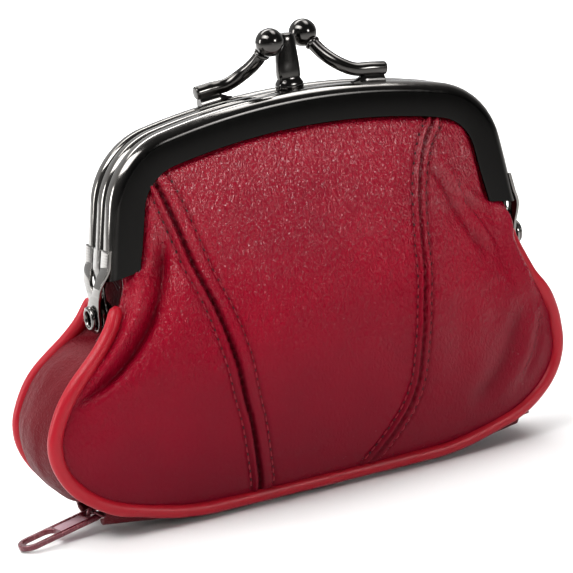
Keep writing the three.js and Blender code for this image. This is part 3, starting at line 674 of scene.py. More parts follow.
# line, half-width of the crease, its depth (negative is a ridge)
FOLD_LINES = [
    # the deep fold under the left end of the frame, and the rolls on both its sides
    (DEEP_FOLD, 1.15, 2.9),
    ([[-39.4, 56], [-40.6, 50], [-42.4, 45.4], [-45, 40.8], [-48.6, 36.2], [-52.4, 32.2]], 2.3, -1.9),
    ([[-30.5, 55], [-33, 47], [-37, 39.5], [-42.6, 32.6], [-48.6, 27.4]], 4.2, -0.9),
    ([[-43.6, 50.2], [-45, 45.6], [-46.8, 41.6], [-49, 38.2], [-52, 34.8]], 0.8, 1.3),
    ([[-46.6, 36.6], [-49.2, 33.6], [-52.2, 30.6], [-54.6, 28.6]], 0.7, 0.9),
    # creases gathered under the right end of the frame
    ([[23.8, 65], [26.4, 60.4], [28.6, 55.6], [30.8, 50.6], [33.4, 45.8], [36.8, 41.4]], 1.2, 0.75),
    ([[26.2, 66], [29.2, 60.4], [31.6, 55.2], [33.8, 50.4], [36, 46.2], [39.2, 42]], 1.3, -0.65),
    ([[29.4, 60.4], [32.2, 56], [34.4, 51.6], [36.4, 47.6], [39.6, 43.4]], 0.75, 0.45),
    ([[26.4, 59.4], [30, 56.4], [33.6, 53.2], [37.4, 50.6], [42, 48.4]], 0.85, 0.55),
    ([[31.6, 57.6], [35.2, 54.4], [39.4, 52], [43.6, 50.2]], 1.1, -0.4),
    ([[27.6, 38], [29.8, 30], [30.4, 23], [29, 16]], 3.6, 0.55),
    ([[36.8, 38.6], [38.3, 32.5], [38.6, 26.4]], 3.0, 0.45),
    ([[45.8, 33], [44.4, 23], [38.6, 15.2], [31.6, 11.8]], 3.0, 0.75),
    ([[50.6, 32], [49.2, 23], [44.8, 16.2], [38.4, 10.8]], 2.6, -0.6),
    ([[53.4, 27.6], [51.2, 19.8], [46.4, 13.4]], 1.2, 0.5),
    # shallow dips
    ([[-15, 12], [-11, 10.2], [-6, 9.2], [0, 9.4]], 1.5, 0.4),
    ([[-38, 33], [-36.4, 22], [-38, 14]], 5.0, 0.5),
    ([[-32.5, 35.4], [-30, 36.8], [-27.4, 37.2]], 1.2, 0.3),
    ([[-49.5, 24], [-45, 15], [-38, 9.6]], 3.6, -0.4),
    ([[-24, 62], [-21.5, 52], [-19, 42]], 3.5, 0.4),
    ([[-28.5, 66], [-25.5, 58], [-24, 50]], 2.2, -0.35),
    ([[2, 68], [4, 56], [3, 44]], 4.5, 0.25),
    ([[12, 66], [12, 54], [14, 44]], 3.0, 0.2),
]
FOLDS = [(smooth_curve(line, 24), width, depth) for line, width, depth in FOLD_LINES]
# line, how far away the rows of thread are to its left and right, depth of its crease and darkness of the
# painted shade in it
SEAMS = [(LEFT_SEAM, 3.0, 1.9, 1.5, 0.95), (RIGHT_SEAM, 1.9, 1.5, 0.95, 0.5)]


def seam_profile(d, share, left, right, depth):
    """A turned seam: a deep line pulled in by its stitches, between two flaps that each have a row of
    thread. left and right are how far away the rows are, towards the left and the right."""
    pull = 0.78 + 0.22 * np.cos(share * 2 * math.pi * 38)
    crease = -depth * pull * bell(d, 0, 0.46)
    flaps = 0.42 * (ease(d, -right - 0.3, -right + 0.8) - ease(d, left - 0.8, left + 0.3))
    lip = 0.42 * bell(d, -0.9, 0.45) + 0.2 * bell(d, 0.95, 0.5)
    rows = -0.42 * bell(d, -right, 0.42) - 0.42 * bell(d, left, 0.42)
    return crease + flaps + lip + rows


def faded(share):
    """A fold's strength along its line: it dies away towards both ends."""
    return ease(share, 0.0, 0.25) * (1 - ease(share, 0.75, 1.0))


def creases(x, z, seed):
    """The folds, seams and small wrinkles of a panel, outwards in millimetres."""
    total = np.zeros(np.shape(x))
    for line, width, depth in FOLDS:
        d, share = near_line(x, z, line)
        total -= depth * bell(d, 0, width) * faded(share)
    for line, left, right, depth, _ in SEAMS:
        d, share = near_line(x, z, line)
        pulls = 0.07 * np.sin(share * 2 * math.pi * 26 + 2 * lumps(x, z, 14, seed))
        total += seam_profile(d, share, left, right, depth)
        total += pulls * np.exp(-((np.abs(d) - 3.4) ** 2) / 2)
    loose = 0.3 + 0.7 * ease(z, 20, 50)
    total += 0.11 * lumps(x, z * 0.7, 13, seed + 1) + 0.045 * loose * lumps(x, z * 0.5, 3.4, seed + 2)
    total += 0.03 * loose * lumps(x * 1.2, z * 0.4, 1.7, seed + 3)
    return total


def groove_shade(x, z):
    """How dark the painted shade is in the seams, along their rows of thread and in the deep folds, from 0
    to 1.
    """
    total = np.zeros(np.shape(x))
    for line, left, right, _, dark in SEAMS:
        d, _ = near_line(x, z, line)
        total += dark * bell(d, 0, 0.5) + 0.3 * bell(d, -right, 0.38) + 0.3 * bell(d, left, 0.38)
    for line, width, depth in FOLDS:
        if depth > 0.7:
            d, share = near_line(x, z, line)
            total += 0.3 * bell(d, 0, 0.6 * width) * faded(share)
    return np.clip(total, 0, 1)


def fade_at_edges(x, z):
    """Folds die away where the leather is sewn in or held by the frame."""
    inside = near_line(x, z, OUTLINE)[0]
    return ease(np.abs(inside), 0.2, 3.2)


def rolled_over(x, z, side):
    """Under the right end of the frame the gathered leather hangs over the piping."""
    inside = np.abs(near_line(x, z, OUTLINE)[0])
    near = bell(inside, 2.3, 1.6) * ease(inside, 0, 1.2)
    amount = np.where(x > 20, near, 0) * ease(z, 29, 38) * (1 - ease(z, 49.5, 53.5))
    return joined(side * amount, -side * 2.2 * amount, 0.0)


# The right half of a panel's edge, from below: sewn in as far as the rivets, and tucked into the
# frame above them.
HALF_EDGE = np.concatenate([SEAM[::-1], arch(TUCKED)[::-1]])
OUTLINE = mirrored(even(HALF_EDGE, 240))


def panel_grid(rows, columns):
    """An even grid of points over the panel: its four sides meet at the outline's rounded corners."""
    right = even(HALF_EDGE, 1200)
    low = int(np.argmin(np.hypot(right[:, 0] - 53.5, right[:, 1] - 10.5)))
    high = int(np.argmin(np.hypot(right[:, 0] - 39.5, right[:, 1] - 74.0)))
    bottom = even(mirrored(right[: low + 1]), columns)
    top = even(mirrored(right[high:][::-1]), columns)
    side = even(right[low : high + 1], rows)
    u = np.linspace(0, 1, columns)[None, :, None]
    v = np.linspace(0, 1, rows)[:, None, None]
    left = (side * [-1, 1])[:, None]
    across = (1 - u) * left + u * side[:, None]
    upward = (1 - v) * bottom[None] + v * top[None]
    low_corners = (1 - u) * (1 - v) * bottom[0] + u * (1 - v) * bottom[-1]
    return across + upward - (low_corners + (1 - u) * v * top[0] + u * v * top[-1])


def grid_normals(points):
    normal = np.cross(np.gradient(points, axis=1), np.gradient(points, axis=0))
    return normal / np.maximum(np.linalg.norm(normal, axis=-1), 1e-9)[..., None]


def folds_at(x, z, seed):
    return creases(x - shoulder(x, z), z, seed) * fade_at_edges(x, z)


def panel_surface(grid, side, seed):
    """Points of a panel's outer face and its normals there. side is 1 for the front, -1 for the rear."""
    x, z = grid[..., 0], grid[..., 1]
    points = joined(side * x, -side * puffed(x, z), z)
    points = points + grid_normals(points) * folds_at(x, z, seed)[..., None]
    points = points + rolled_over(x, z, side) + hang(x, z)
    return points, grid_normals(points)


# The leather follows its frame above the rivets and the body below them.
# a half's name, its side and the seed of its wrinkles
ENDS = [("front", 1, 11), ("rear", -1, 31)]
LEATHER_WALL = 0.8


def make_panel(end, side, seed):
    rows, columns = ((240, 340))
    grid = panel_grid(rows, columns)
    points, normal = panel_surface(grid, side, seed)
    vertices, faces, inside = shell(points, points - normal * LEATHER_WALL)
    panel = new_object(f"{end}_panel", vertices, faces, [LEATHER, LINING], inside)
    x, z = grid[..., 0], grid[..., 1]
    # painted shade for the seams, their rows of thread and the deep folds, stored for the leather's colour
    shade = groove_shade(x - shoulder(x, z), z).ravel()
    store(panel, "painted_groove_shade", np.tile(shade, 2))
    names = [f"{end}_{p}_panel_{h}" for p in ("left", "center", "right") for h in ("upper", "lower")]
    settle(panel, "leather", end, *names, f"{end}_lining", bends=True)


def surface_point(x, z, side, seed):
    """One line of points on a panel, and its outward normals there."""
    step = 0.25
    made = []
    for right, up in ((0, 0), (step, 0), (0, step)):
        xx, zz = x + right, z + up
        out = puffed(xx, zz) + folds_at(xx, zz, seed)
        made.append(joined(side * xx, -side * out, zz) + hang(xx, zz) + rolled_over(xx, zz, side))
    return made[0], unit(np.cross(made[1] - made[0], made[2] - made[0]))


STITCH, STITCH_STEPS = 2.0, 8
STITCH_LIFT = np.array([-0.28, -0.02, 0.1, 0.13, 0.1, -0.02, -0.28])[:, None]
STITCH_RADII = [0.1, 0.15, 0.18, 0.18, 0.18, 0.15, 0.1]
PIT_LIFT, PIT_RADII = np.array([-0.1, -0.04, -0.1])[:, None], [0.16, 0.24, 0.16]


def make_topstitching(end, side, seed):
    """Rows of thread beside each seam: every stitch dips into the leather at both ends, and a near black
    pit between stitches is painted shade in the needle hole.
    """
    pieces, holes = [], []
    for line, left, right, _, _ in SEAMS:
        dense = even(line, 700)
        tangent = unit(np.gradient(dense, axis=0))
        across = np.stack([-tangent[:, 1], tangent[:, 0]], 1)
        for offset in (left, -right):
            row = even(dense + across * offset, 900)
            row = row[(row[:, 1] > 4.6) & (row[:, 1] < arch_height(row[:, 0], 7.0))]
            row = row[np.abs(row[:, 0]) < arch_half(row[:, 1], 7.4)]
            count = int(lengths(row)[-1] / STITCH)
            x, z = even(row, count * STITCH_STEPS + 1).T
            points, normal = surface_point(x + shoulder(x, z), z, side, seed)
            for start in range(0, count * STITCH_STEPS, STITCH_STEPS):
                thread = slice(start + 1, start + STITCH_STEPS)
                path = points[thread] + normal[thread] * STITCH_LIFT
                pieces.append(tube(path, STITCH_RADII, 6))
                # a dark pit between stitches: painted shade in the needle hole
                if start:
                    gap = slice(start - 1, start + 2)
                    holes.append(tube(points[gap] + normal[gap] * PIT_LIFT, PIT_RADII, 6))
    vertices, faces = gathered(pieces + holes)
    pits = slice(sum(len(f) for _, f in pieces), None)
    stitches = new_object(f"{end}_topstitching", vertices, faces, [THREAD, NEEDLE_HOLE_SHADE], pits)
    settle(stitches, "leather", end, bends=True)


# ---- piping, gusset and bottom
PIPING_R, GUSSET_WALL = 1.5, 0.9


def make_piping(end, side, _):
    """A cord from the left rivet round the bottom to the right one."""
    x, z = even(mirrored(even(SEAM, 200)[::-1]), 220).T
    out = gusset_half(z) - 0.5 * ease(z, 43.2, 46.4)
    line = joined(x, -side * out, z) + hang(x, z)
    run = np.linspace(0, 1, len(line))
    line[:, 1] += 0.05 * lumps(run * 200, run * 0, 16, 5 + side)
    radius = PIPING_R + 0.05 * lumps(run * 200, run * 0, 11, 3)
    soft = np.minimum(ease(run, -0.002, 0.006), 1 - ease(run, 0.994, 1.002))
    piping = new_object(f"{end}_piping_cord", *tube(line, radius * (0.35 + 0.65 * soft), 24), PIPING)
    settle(piping, "piping", end, f"{end}_piping", bends=True)


def gusset_rows(side, rows, columns):
    """The strip between the pipings at one end of the purse, from the zip's end up to the rivet."""
    seam = even(SEAM, 400)
    seam = seam[seam[:, 1] < 42.6]
    start = int(np.argmin(np.hypot(seam[:, 0] - 48.2, seam[:, 1] - 7.4)))
    line = even(seam[: start + 1][::-1], rows)
    tangent = unit(np.gradient(line, axis=0))
    v = np.linspace(-1, 1, columns)[None]
    run = np.linspace(0, 1, rows)[:, None]
    low, high = line[:, :1], line[:, 1:]
    bulge = 0.5 + 1.8 * (1 - v**2) * ease(run, 0.0, 0.12) * (1 - ease(run, 0.72, 0.98))
    bulge -= 1.7 * ease(run, 0.88, 1.0) + 3.0 * ease(high, 36.0, 41.0) * (1 - v**4)
    s = run * 75
    bulge += 0.14 * lumps(s * 0.35, v * 9, 6, 21) * (1 - v**4)
    bulge += 0.045 * lumps(s * 0.3, v * 9, 2.4, 23) * (1 - v**4)
    x, z = low + tangent[:, 1:] * bulge, high - tangent[:, :1] * bulge
    return joined(side * x, v * (gusset_half(high) - GUSSET_WALL), z) + hang(low, high)


def make_gusset(name, side):
    rows, columns = ((170, 56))
    outer = gusset_rows(side, rows, columns)
    normal = grid_normals(outer)
    if normal[rows // 2, columns // 2, 0] * side < 0:
        normal = -normal
    vertices, faces, inside = shell(outer, outer - normal * GUSSET_WALL)
    gusset = new_object(f"{name}_gusset_strip", vertices, faces, [GUSSET_LEATHER, LINING], inside)
    settle(gusset, "dark_leather", "body", f"{name}_gusset")


def make_tongue(name, side):
    """The strip's upper end, folded inwards and tucked up between the frames' arms."""
    z = np.linspace(38.5, 57, 40)[:, None]
    v = np.linspace(-1, 1, 17)[None]
    half = mix(gusset_half(z) - 1.6, 3.5, ease(z, 42, 50))
    inset = 1.6 * (1 - v**2) * ease(z, 38, 46) + 0.05 * lumps(z, v * 4, 3, 51)
    x = mix(43.9, 43.2, ease(z, 38, 57)) - inset
    outer = joined(side * x, v * half, z) + hang(x, z)
    vertices, faces, _ = shell(outer, outer - np.array([side * 0.7, 0, 0]))
    tongue = new_object(f"{name}_gusset_tongue", vertices, faces, GUSSET_LEATHER)
    settle(tongue, "dark_leather", "body")


ZIP_R, ZIP_MID, FLAT_HALF, ZIP_HALF = 360.0, 1.75, 20.0, 50.2


def zip_rise(x):
    return x * x / (2 * ZIP_R)


def along_zip(x, y, z):
    """x along the zip from its middle, y across it to the back, z above its lowest line."""
    return joined(SWAY_X + x, SWAY_Y + y, zip_rise(x) + z)


def facing_rise(x):
    """The facings lie flat on the table in the middle and rise with the zip beyond that."""
    return np.maximum(0, zip_rise(x) - zip_rise(FLAT_HALF))


FACING_SECTION = [
    (9.5, 0.5), (9.1, 0.15), (8.2, 0.0), (7.2, 0.0), (6.2, 0.0), (5.5, 0.02), (5.05, 0.25),
    (4.9, 0.6), (5.05, 0.95), (5.5, 1.15), (7.2, 1.15), (8.4, 1.1), (9.3, 1.0),
]
TAPE_SECTION = [
    (2.3, -0.2), (2.3, 0.2), (2.9, 0.22), (3.2, 0.16), (8.4, 0.16), (8.4, -0.16), (3.2, -0.16),
    (2.9, -0.22),
]
FACING_STITCH_DIP = np.array([0.12, -0.0, -0.04, -0.04, -0.0, 0.12])
FACING_STITCH_RADII = [0.08, 0.13, 0.15, 0.15, 0.13, 0.08]
COIL_START, COIL_END, COIL_PITCH = -45.2, 48.4, 1.3


def make_facing(end, side, _):
    """A leather strip beside the zip, folded at the zip's side and tucked in at the piping."""
    x = np.linspace(-ZIP_HALF + 1.8, ZIP_HALF - 2.4, 160)
    low = even(SEAM, 300)[::-1]
    low = low[low[:, 1] < 15]
    sewn = np.maximum(facing_rise(x), np.interp(np.abs(x), low[:, 0], low[:, 1]) - 1.9)
    rows = []
    for y, z in FACING_SECTION:
        height = mix(facing_rise(x), sewn, ease(y, 6.4, 9.4)) + z
        rows.append(joined(SWAY_X + x, SWAY_Y - side * y, height))
    facing = new_object(f"{end}_facing", *capped(np.stack(rows, 1)), GUSSET_LEATHER)
    settle(facing, "dark_leather", "body", f"{end}_zip_facing")
    stitches = []
    for start in np.arange(-ZIP_HALF + 4, ZIP_HALF - 5, 2.1):
        s = np.linspace(start, start + 1.6, 6)
        path = joined(SWAY_X + s, SWAY_Y - side * 5.75, facing_rise(s) + 0.03 + FACING_STITCH_DIP)
        stitches.append(tube(path, FACING_STITCH_RADII, 6))
    row = new_object(f"{end}_facing_stitches", *gathered(stitches), THREAD)
    settle(row, "dark_leather", "body")


def make_zip_half(end, side, _):
    x = np.linspace(-49.2, ZIP_HALF, 160)
    clear = 4.4 * ease(-x, 45.8, 46.6)  # the tapes part beside the slider's open end
    rows = [along_zip(x, -side * np.maximum(y, clear), ZIP_MID + z) for y, z in TAPE_SECTION]
    tape = new_object(f"{end}_tape", *capped(np.stack(rows, 1)), TAPE)
    settle(tape, "zip_tape", "body", f"{end}_zip_tape")
    turns = int((COIL_END - COIL_START) / COIL_PITCH)
    t = np.linspace(0, 1, turns * 14)
    phase = t * turns * 2 * math.pi + (0 if side > 0 else math.pi)
    across, up = -side * (1.5 + 0.68 * np.cos(phase)), 0.4 * np.sin(phase)
    line = along_zip(COIL_START + t * turns * COIL_PITCH, across, ZIP_MID + up)
    coil = new_object(f"{end}_coil", *tube(line, 0.27, 7), COIL)
    settle(coil, "zip_coil", "body", f"{end}_zip_coil")


# ---- dividers
DIVIDER_LOW, DIVIDER_TOP, DIVIDER_TUCKED = 5.5, 73.0, 1.9


def make_divider(end, side, _):
    """A wall of the zip's pocket, from the zip up into the middle frame."""
    v = np.linspace(0, 1, 60)[:, None]
    u = np.linspace(-1, 1, 70)[None]
    row = mix(DIVIDER_LOW, DIVIDER_TOP, v)
    wide = seam_half(np.minimum(row, SEWN_Z + 1)) - 3.2
    loose = np.minimum(wide, 41.5 + np.maximum(0, SEWN_Z - row))
    held = arch_half(np.maximum(row, ARM_END[1]), DIVIDER_TUCKED)
    x = u * mix(loose, held, ease(row, SEWN_Z, ARM_END[1]))
    lift = (arch_height(x, DIVIDER_TUCKED) - DIVIDER_TOP) * ease(row, 50, DIVIDER_TOP)
    low = (2.5 + zip_rise(x) - DIVIDER_LOW) * (1 - ease(row, DIVIDER_LOW, 28))
    z = row + lift + low
    near = mix(4.7, 0.62, ease(z, 6, 50))
    wave = 0.5 * lumps(x, z * 0.5, 16, 40 + side) * ease(z, 4, 14) * (1 - ease(z, 40, 56))
    middle = near + np.maximum(wave, -0.3)
    outer, inner = (joined(side * x, -side * (middle + w), z) + hang(x, z) for w in (0.6, 0.0))
    vertices, faces, _ = shell(outer, inner)
    divider = new_object(f"{end}_divider_cloth", vertices, faces, LINING)
    settle(divider, "lining", "body", f"{end}_divider")


# ---- frames
def round_section(points):
    """A closed section from (x, y, corner radius) points, its corners rounded."""
    made = []
    for i, (*here, r) in enumerate(points):
        p = np.array(here, float)
        a, b = (unit(np.array(points[(i + k) % len(points)][:2], float) - p) for k in (-1, 1))
        half = math.acos(max(-1, min(1, a @ b))) / 2
        back = r / math.tan(half)
        centre = p + (a + b) / np.linalg.norm(a + b) * r / math.sin(half)
        start, end = p + a * back - centre, p + b * back - centre
        t0, t1 = math.atan2(start[1], start[0]), math.atan2(end[1], end[0])
        turn = (t1 - t0 + math.pi) % (2 * math.pi) - math.pi
        steps = max(3, int(abs(turn) / math.radians(11)))
        for k in range(steps + 1):
            t = t0 + turn * k / steps
            made.append(centre + r * np.array([math.cos(t), math.sin(t)]))
    return np.array(made)


def sweep_arch(section, sign, slant=0.0, low=0.0):
    """A section of (distance from the middle plane, depth into the arch) swept round the arch, its
    ends slanted and lowered."""
    grid = []
    for out, depth in section:
        right = arch(depth, low, 70)
        line = np.concatenate([right[:0:-1] * [-1, 1], right])
        last = (len(line) - 1) / 2
        end = ease(np.abs(np.arange(len(line)) - last), last - 8, last)
        grid.append(joined(line[:, 0], sign * out, line[:, 1] + end * slant * (depth - TUCKED)))
    return capped(np.stack(grid, 1))


WALL = 0.75
LIP = 5.6
OUTER_SECTION = round_section(
    [
        *((2.4, LIP, 0.3), (2.4, 0, 1.05), (6.6, 0, 2.3), (6.6, CHANNEL_DEPTH, 0.34)),
        *((6.6 - WALL, CHANNEL_DEPTH, 0.3), (6.6 - WALL, WALL, 1.6)),
        *((2.4 + WALL, WALL, 0.5), (2.4 + WALL, LIP, 0.3)),
    ]
)
MIDDLE_SECTION = round_section(
    [
        *((-2.1, LIP, 0.3), (-2.1, 0, 1.7), (2.1, 0, 1.7), (2.1, LIP, 0.3)),
        *((2.1 - WALL, LIP, 0.3), (2.1 - WALL, WALL, 1.0)),
        *((-2.1 + WALL, WALL, 1.0), (-2.1 + WALL, LIP, 0.3)),
    ]
)
# the layers of the three ears on each rivet, as distances from the middle of the purse
EAR_LAYERS = [45.9, 46.9, 47.9]
EAR_WALL = 0.7
HOLE_Z = 43.7
HOLE = arc(0, HOLE_Z, 2.15, 360, 0, 40)[:-1]


def ear_outline(right, left, ring):
    return [*map(tuple, right), *ring[1:-1], *map(tuple, left)]


def outer_ear():
    """From the front face's edge the arm narrows to a waist, and flares again to the ring."""
    right = [[-2.2, 57.5], [-2.1, 52.6], [-1.9, 50], [-1.0, 48.7], [0.7, 47.7], [1.9, 46.3]]
    left = [[-3.1, 44.6], [-3.8, 46.8], [-4.9, 49], [-5.7, 51], [-6.1, 53], [-6.1, 57.5]]
    ring = arc(0, HOLE_Z, 3.15, 52, -196, 44)
    return ear_outline(smooth_curve(right, 26), smooth_curve(left, 26), ring)


def middle_ear():
    right = smooth_curve([[1.75, 57.5], [1.75, 52], [1.8, 49], [2.1, 46.4]], 16)
    return ear_outline(right, right[::-1] * [-1, 1], arc(0, HOLE_Z, 3.1, 48, -228, 44))


def ear(side, layer, outline):
    """An ear bent from its arm out to its layer on the rivet."""
    plan, faces = plate(outline, [HOLE], EAR_WALL, 0.16, np.arange(47.0, 57.6, 0.55))
    y, z, w = plan.T
    wall = ARM_END[0] + (ARM_END[1] - z) * math.tan(LEAN) - EAR_WALL / 2 - 0.02
    seat = EAR_LAYERS[layer] + EAR_WALL / 2
    x = mix(wall, seat, 1 - ease(z, 49.4, 54.2))
    return joined(side * (x + w), y, z), faces


def turn_round(vertices):
    return vertices * [-1, -1, 1]


def metal_piece(name, shape, crisp, painted_sheen_share, body, *replaced):
    """A plated piece: crisp is the least angle of its sharp edges, in degrees, and the fourth argument is
    how far each vertex's base colour is painted bright as painted reflection, from 0 to 1."""
    made = new_object(name, *shape, METAL, crisp=crisp)
    store(made, "painted_sheen_share", painted_sheen_share)
    settle(made, "frame_metal", body, *replaced)


def make_frames():
    bow = sweep_arch(OUTER_SECTION, -1, 0.34, 1.2)
    vertices, faces = gathered([bow, ear(-1, 2, outer_ear()), ear(1, 1, outer_ear())])
    out, depth = OUTER_SECTION.T
    swept = len(bow[0])
    # painted reflection: the frames' front faces are painted dark below their shoulders, everything else
    # painted bright
    painted_sheen = np.where(out > 5.6, 0.9 * (1 - ease(depth, 0.5, 2.0)), 1)
    painted_sheen = np.concatenate([np.tile(painted_sheen, swept // len(painted_sheen)), np.ones(len(vertices) - swept)])
    for end, points in (("front", vertices), ("rear", turn_round(vertices))):
        metal_piece(f"{end}_bow", (points, faces), 50, painted_sheen, end, f"{end}_frame")
    ears = [ear(side, 0, middle_ear()) for side in (-1, 1)]
    middle = gathered([sweep_arch(MIDDLE_SECTION, 1), *ears])
    metal_piece("middle_bow", middle, 50, 0.9, "body", "middle_frame")


RIVET_IN, RIVET_OUT = 45.6, 48.9
# (radius, distance beyond the flange) of the rivet's bore, flange and barrel, and of its rolled rim
FLANGE = [(1.45, -0.55), (1.6, -0.7), (2.6, -0.7), (2.85, -0.5), (2.85, -0.15), (2.7, 0), (1.92, 0)]
ROLLED_RIM = [
    (1.92, 0), (2.3, 0), (2.5, 0.12), (2.55, 0.35), (2.42, 0.62), (2.15, 0.78), (1.85, 0.8),
    (1.6, 0.66), (1.48, 0.4), (1.45, 0),
]


def make_rivet(name, side):
    profile = [(r, RIVET_IN + s) for r, s in FLANGE] + [(r, RIVET_OUT + s) for r, s in ROLLED_RIM]
    shape = turned_about([*profile, profile[0]], 48, lambda a, b, s: (side * s, a, b + PIVOT_Z))
    metal_piece(f"{name}_eyelet", shape, 60, 0.8, "body", f"{name}_rivet")


BALL_R, BALL = 2.9, np.array([-5.6, -3.75, 92.5])
ROD_R = 1.4


# (y, height) of the soldered foot under each rod
FOOT_SECTION = [(5.5, 0.0), (5.6, 0.7), (5.1, 1.45), (3.7, 1.45), (3.2, 0.7), (3.3, 0.0)]
BALL_COLLAR = [(0.02, -3.62), (1.42, -3.6), (1.62, -3.35), (1.72, -3.05), (1.6, -2.8), (1.3, -2.66)]


def make_clasp():
    """The rear frame's rod starts at the left and ends in front of the post."""

    def base(x, y):
        return [x, y, float(arch_height(x, 0)) + 2.7]

    low = [base(-19.4, 4.4), base(-16, 4.4), base(-12.5, 4.0)]
    high = [[-9.6, 2.6, 86.1], [-7.7, 0, 88.3], BALL + [-0.75, 1.35, -1.6]]
    line = smooth_curve([*low, *high], 70)
    way = unit(BALL - line[-1])
    t = np.linspace(math.radians(24), math.radians(180), 34)
    sphere = [(BALL_R * math.sin(a), -BALL_R * math.cos(a)) for a in t[:-1]] + [(0.02, BALL_R)]
    side = unit(np.cross(way, [0, 0, 1.0]))
    other = np.cross(way, side)
    knob = turned_about(
        [*BALL_COLLAR, *sphere], 44, lambda a, b, s: BALL + way * s + side * a + other * b
    )
    rod = rounded_tube(line[np.linalg.norm(line - BALL, axis=1) > 2.6], ROD_R, 28, 0.28)
    x = np.linspace(-18.7, -11.6, 30)
    taper = ease(x, -14.6, -11.6)
    rows = []
    for y, up in FOOT_SECTION:
        rise = up if up > 0.1 else -0.35
        height = arch_height(x, 0) + rise * (1 - 0.75 * taper) - 0.05
        rows.append(joined(x, mix(4.4, y, 1 - 0.35 * taper), height))
    vertices, faces = gathered([knob, rod, capped(np.stack(rows, 1))])
    for end, points in (("rear", vertices), ("front", turn_round(vertices))):
        cad = [f"{end}_clasp_{part}" for part in ("rod", "ball", "foot")]
        metal_piece(f"{end}_clasp", (points, faces), 48, 0.32, end, *cad)


# (height, half-width) of the post, its collar first
POST_RINGS = [
    (82.0, 2.3), (82.2, 2.75), (82.9, 2.9), (83.5, 2.75), (84.0, 2.45), (84.3, 2.35), (84.9, 2.5),
    (86, 2.5), (88, 2.38), (90, 2.2), (92, 2.02), (92.9, 1.9), (93.3, 1.6), (93.5, 0.9),
]


def make_post():
    """A pressed leaf: half-round, narrowing upwards, on a collar that grips the middle frame."""
    a = circle(40)
    across, along = (np.sign(w) * np.abs(w) ** 0.8 for w in (np.cos(a), np.sin(a)))
    rings = []
    for z, w in POST_RINGS:
        rings.append(joined(across * w - 0.4, along * w * (0.8 if z > 84 else 0.86), z))
    metal_piece("clasp_leaf", capped(np.stack(rings), True), 50, 0.3, "body", "clasp_post")


# ---- slider and pull
SLIDER_X = -41.6


def carry(points):
    """Carries what is drawn at the middle of the zip to the slider's place on the arc."""
    turn = math.asin(SLIDER_X / ZIP_R)
    centre = ZIP_MID + ZIP_R
    x, y, z = points[:, 0], points[:, 1], points[:, 2] - centre
    c, s = math.cos(turn), math.sin(turn)
    return np.stack([x * c - z * s + SWAY_X, y + SWAY_Y, x * s + z * c + centre], 1)


def zip_metal_piece(name, shape, materials, second, body, replaced):
    settle(new_object(name, *shape, materials, second, 45), "zip_metal", body, replaced)


def oblong(x0, x1, y):
    return [(x0, -y), (x1, -y), (x1, y), (x0, y)]


EYE_X, EYE_Z, EYE_R = -5.9, 0.35, 1.32


def make_slider():
    left = [(-4.3, -2.3), *arc(-2.6, -2.6, 1.2, 200, 270, 6), (1.2, -3.8), (3.9, -3.15)]
    body = [*left, *arc(3.7, -2.5, 0.6, -60, 0, 5)]
    outline = [*body, *[(x, -y) for x, y in body[::-1]]]
    pieces = [plate(outline, [], 0.55, 0.2, lift=z) for z in (0.7, 2.8)]
    rib = [(1.9, -0.28), (3.3, -0.28), (3.3, 0.28), (1.9, 0.28)]
    pieces.append(plate(rib, [], 2.4, 0.05, lift=1.75))
    a = np.linspace(0, 2 * math.pi, 40)
    pieces.append(tube(joined(EYE_X + EYE_R * np.cos(a), 0.0, EYE_Z + EYE_R * np.sin(a)), 0.3, 12, 1.5))
    web = [(-4.75, -0.45), (-3.6, -0.7), (-3.6, 0.7), (-4.75, 0.45)]
    pieces.append(plate(web, [], 0.42, 0.08, lift=0.7))
    for y in (-3.3, 3.3):
        far = y * 0.94
        rail = [(-3.6, y - 0.3), (2.6, far - 0.3), (2.6, far + 0.3), (-3.6, y + 0.3)]
        pieces.append(plate(rail, [], 0.5, 0.12, lift=1.15))
    vertices, faces = gathered(pieces)
    zip_metal_piece("slider_body", (carry(vertices), faces), PAINT, None, "slider", "zip_slider")


PULL_PITCH, PULL_YAW = math.radians(-9.1), math.radians(7)


def make_pull():
    """A long tab with a slot at the slider and an oval hole at its free end, its middle sunk."""
    length, half = 17.6, 2.75
    far = half - length
    outline = [(0.45, -2.2), (0.45, 2.2), (0.1, 2.5), (-1.5, half), (far, half)]
    outline += [*arc(far, 0, half, 90, 270, 22), (-1.5, -half), (0.1, -2.5)]
    slot = oblong(-0.5, -2.2, 1.5)
    finger = [*arc(far + 0.25, 0, 1.9, 90, 270, 18), *arc(-11.2, 0, 1.9, -90, 90, 18)]
    rim = plate(outline, [slot, finger, oblong(-2.8, -8.8, 1.95)], 1.1, 0.2)
    v, f = gathered([rim, plate(oblong(-2.7, -8.9, 2.05), [], 0.6, 0.05)])
    c, s = math.cos(PULL_PITCH), math.sin(PULL_PITCH)
    x, y, z = v[:, 0] * c + v[:, 2] * s, v[:, 1], -v[:, 0] * s + v[:, 2] * c
    c, s = math.cos(PULL_YAW), math.sin(PULL_YAW)
    v = joined(x * c - y * s, x * s + y * c, z) + carry(np.array([[EYE_X, 0, EYE_Z]]))[0]
    zip_metal_piece("pull_tab", (v, f), [PAINT, SATIN], slice(len(rim[1]), None), "pull", "zip_pull")


def make_stop():
    v, f = plate(oblong(48.8, 50.0, 2.1), [], 1.5, 0.3)
    points = along_zip(v[:, 0], v[:, 1], ZIP_MID + v[:, 2])
    zip_metal_piece("stop_crimp", (points, f), PAINT, None, "body", "zip_stop")


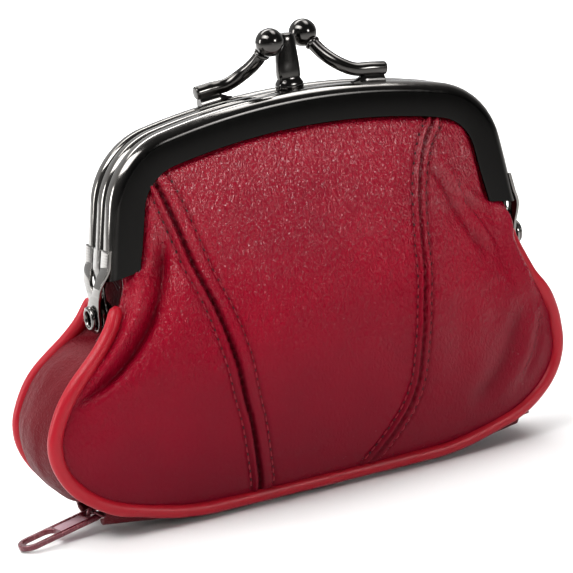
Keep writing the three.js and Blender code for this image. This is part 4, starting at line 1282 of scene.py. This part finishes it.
# ---- floor and lights
def make_floor():
    size, steps = 6.0, 40
    line = np.linspace(-size / 2, size / 2, steps)
    x, y = np.meshgrid(line, line)
    points = joined(x, y, -0.0002).reshape(-1, 3)
    mesh = bpy.data.meshes.new("floor")
    faces = [tuple(int(i) for i in f) for f in grid_faces(steps, steps)]
    mesh.from_pydata([tuple(p) for p in points], [], faces)
    n = Nodes("pale_floor")
    n.set("Base Color", n.blend(n.noise(3, 2), (0.8, 0.8, 0.8), (0.84, 0.84, 0.835)))
    n.set("Roughness", n.fit(n.noise(300, 2), 0, 1, 0.85, 0.95))
    n.set("Specular IOR Level", 0.1)
    mesh.materials.append(n.material)
    link("floor", mesh)


def light(name, place, target, size, power, spread):
    data = bpy.data.lights.new(name, "AREA")
    data.shape = "RECTANGLE"
    data.size, data.size_y = size
    data.energy = power
    data.spread = math.radians(spread)
    obj = link(name, data)
    obj.location = place
    obj.rotation_euler = (Vector(target) - Vector(place)).to_track_quat("-Z", "Y").to_euler()


def make_lights():
    world = bpy.data.worlds.new("studio")
    world.use_nodes = True
    tree = world.node_tree
    background = tree.nodes["Background"]
    way = tree.nodes.new("ShaderNodeTexCoord")
    parts = tree.nodes.new("ShaderNodeSeparateXYZ")
    sweep = tree.nodes.new("ShaderNodeMapRange")
    sweep.interpolation_type = "SMOOTHSTEP"
    for key, value in (("From Min", -0.2), ("From Max", 0.7), ("To Min", 0.1), ("To Max", 0.7)):
        sweep.inputs[key].default_value = value
    tree.links.new(way.outputs["Generated"], parts.inputs[0])
    tree.links.new(parts.outputs["Y"], sweep.inputs["Value"])
    tree.links.new(sweep.outputs[0], background.inputs["Strength"])
    background.inputs["Color"].default_value = (1, 1, 1, 1)
    bpy.context.scene.world = world
    light("key", (-0.6, -0.22, 0.86), (0, 0, 0.05), (1.3, 0.4), 2.6, 60)
    light("top", (0.42, 0.05, 0.95), (0, 0, 0.05), (0.8, 0.4), 0.6, 50)
    light("strip", (-1.0, 0.35, 0.32), (0, 0, 0.06), (0.2, 0.4), 0.22, 40)
    light("front", (0.45, -0.97, 0.34), (0, 0.06, 0.06), (0.5, 0.3), 0.15, 18)
    light("background", (0, 1.15, 1.3), (0, 1.0, 0), (1.6, 0.8), 25, 85)
    light("foreground", (0, -2.5, 1.3), (0, -2.4, 0), (1.6, 0.8), 22, 80)


make_camera()
make_floor()
make_lights()
for half in ENDS:
    make_panel(*half)
    make_topstitching(*half)
    make_piping(*half)
    make_divider(*half)
SIDES = (("left", -1), ("right", 1))
for make in (make_gusset, make_tongue):
    for name, side in SIDES:
        make(name, side)
for make in (make_facing, make_zip_half):
    for half in ENDS:
        make(*half)
make_frames()
for name, side in SIDES:
    make_rivet(name, side)
make_clasp()
make_post()
make_slider()
make_pull()
make_stop()
bpy.context.scene.view_settings.view_transform = "Standard"
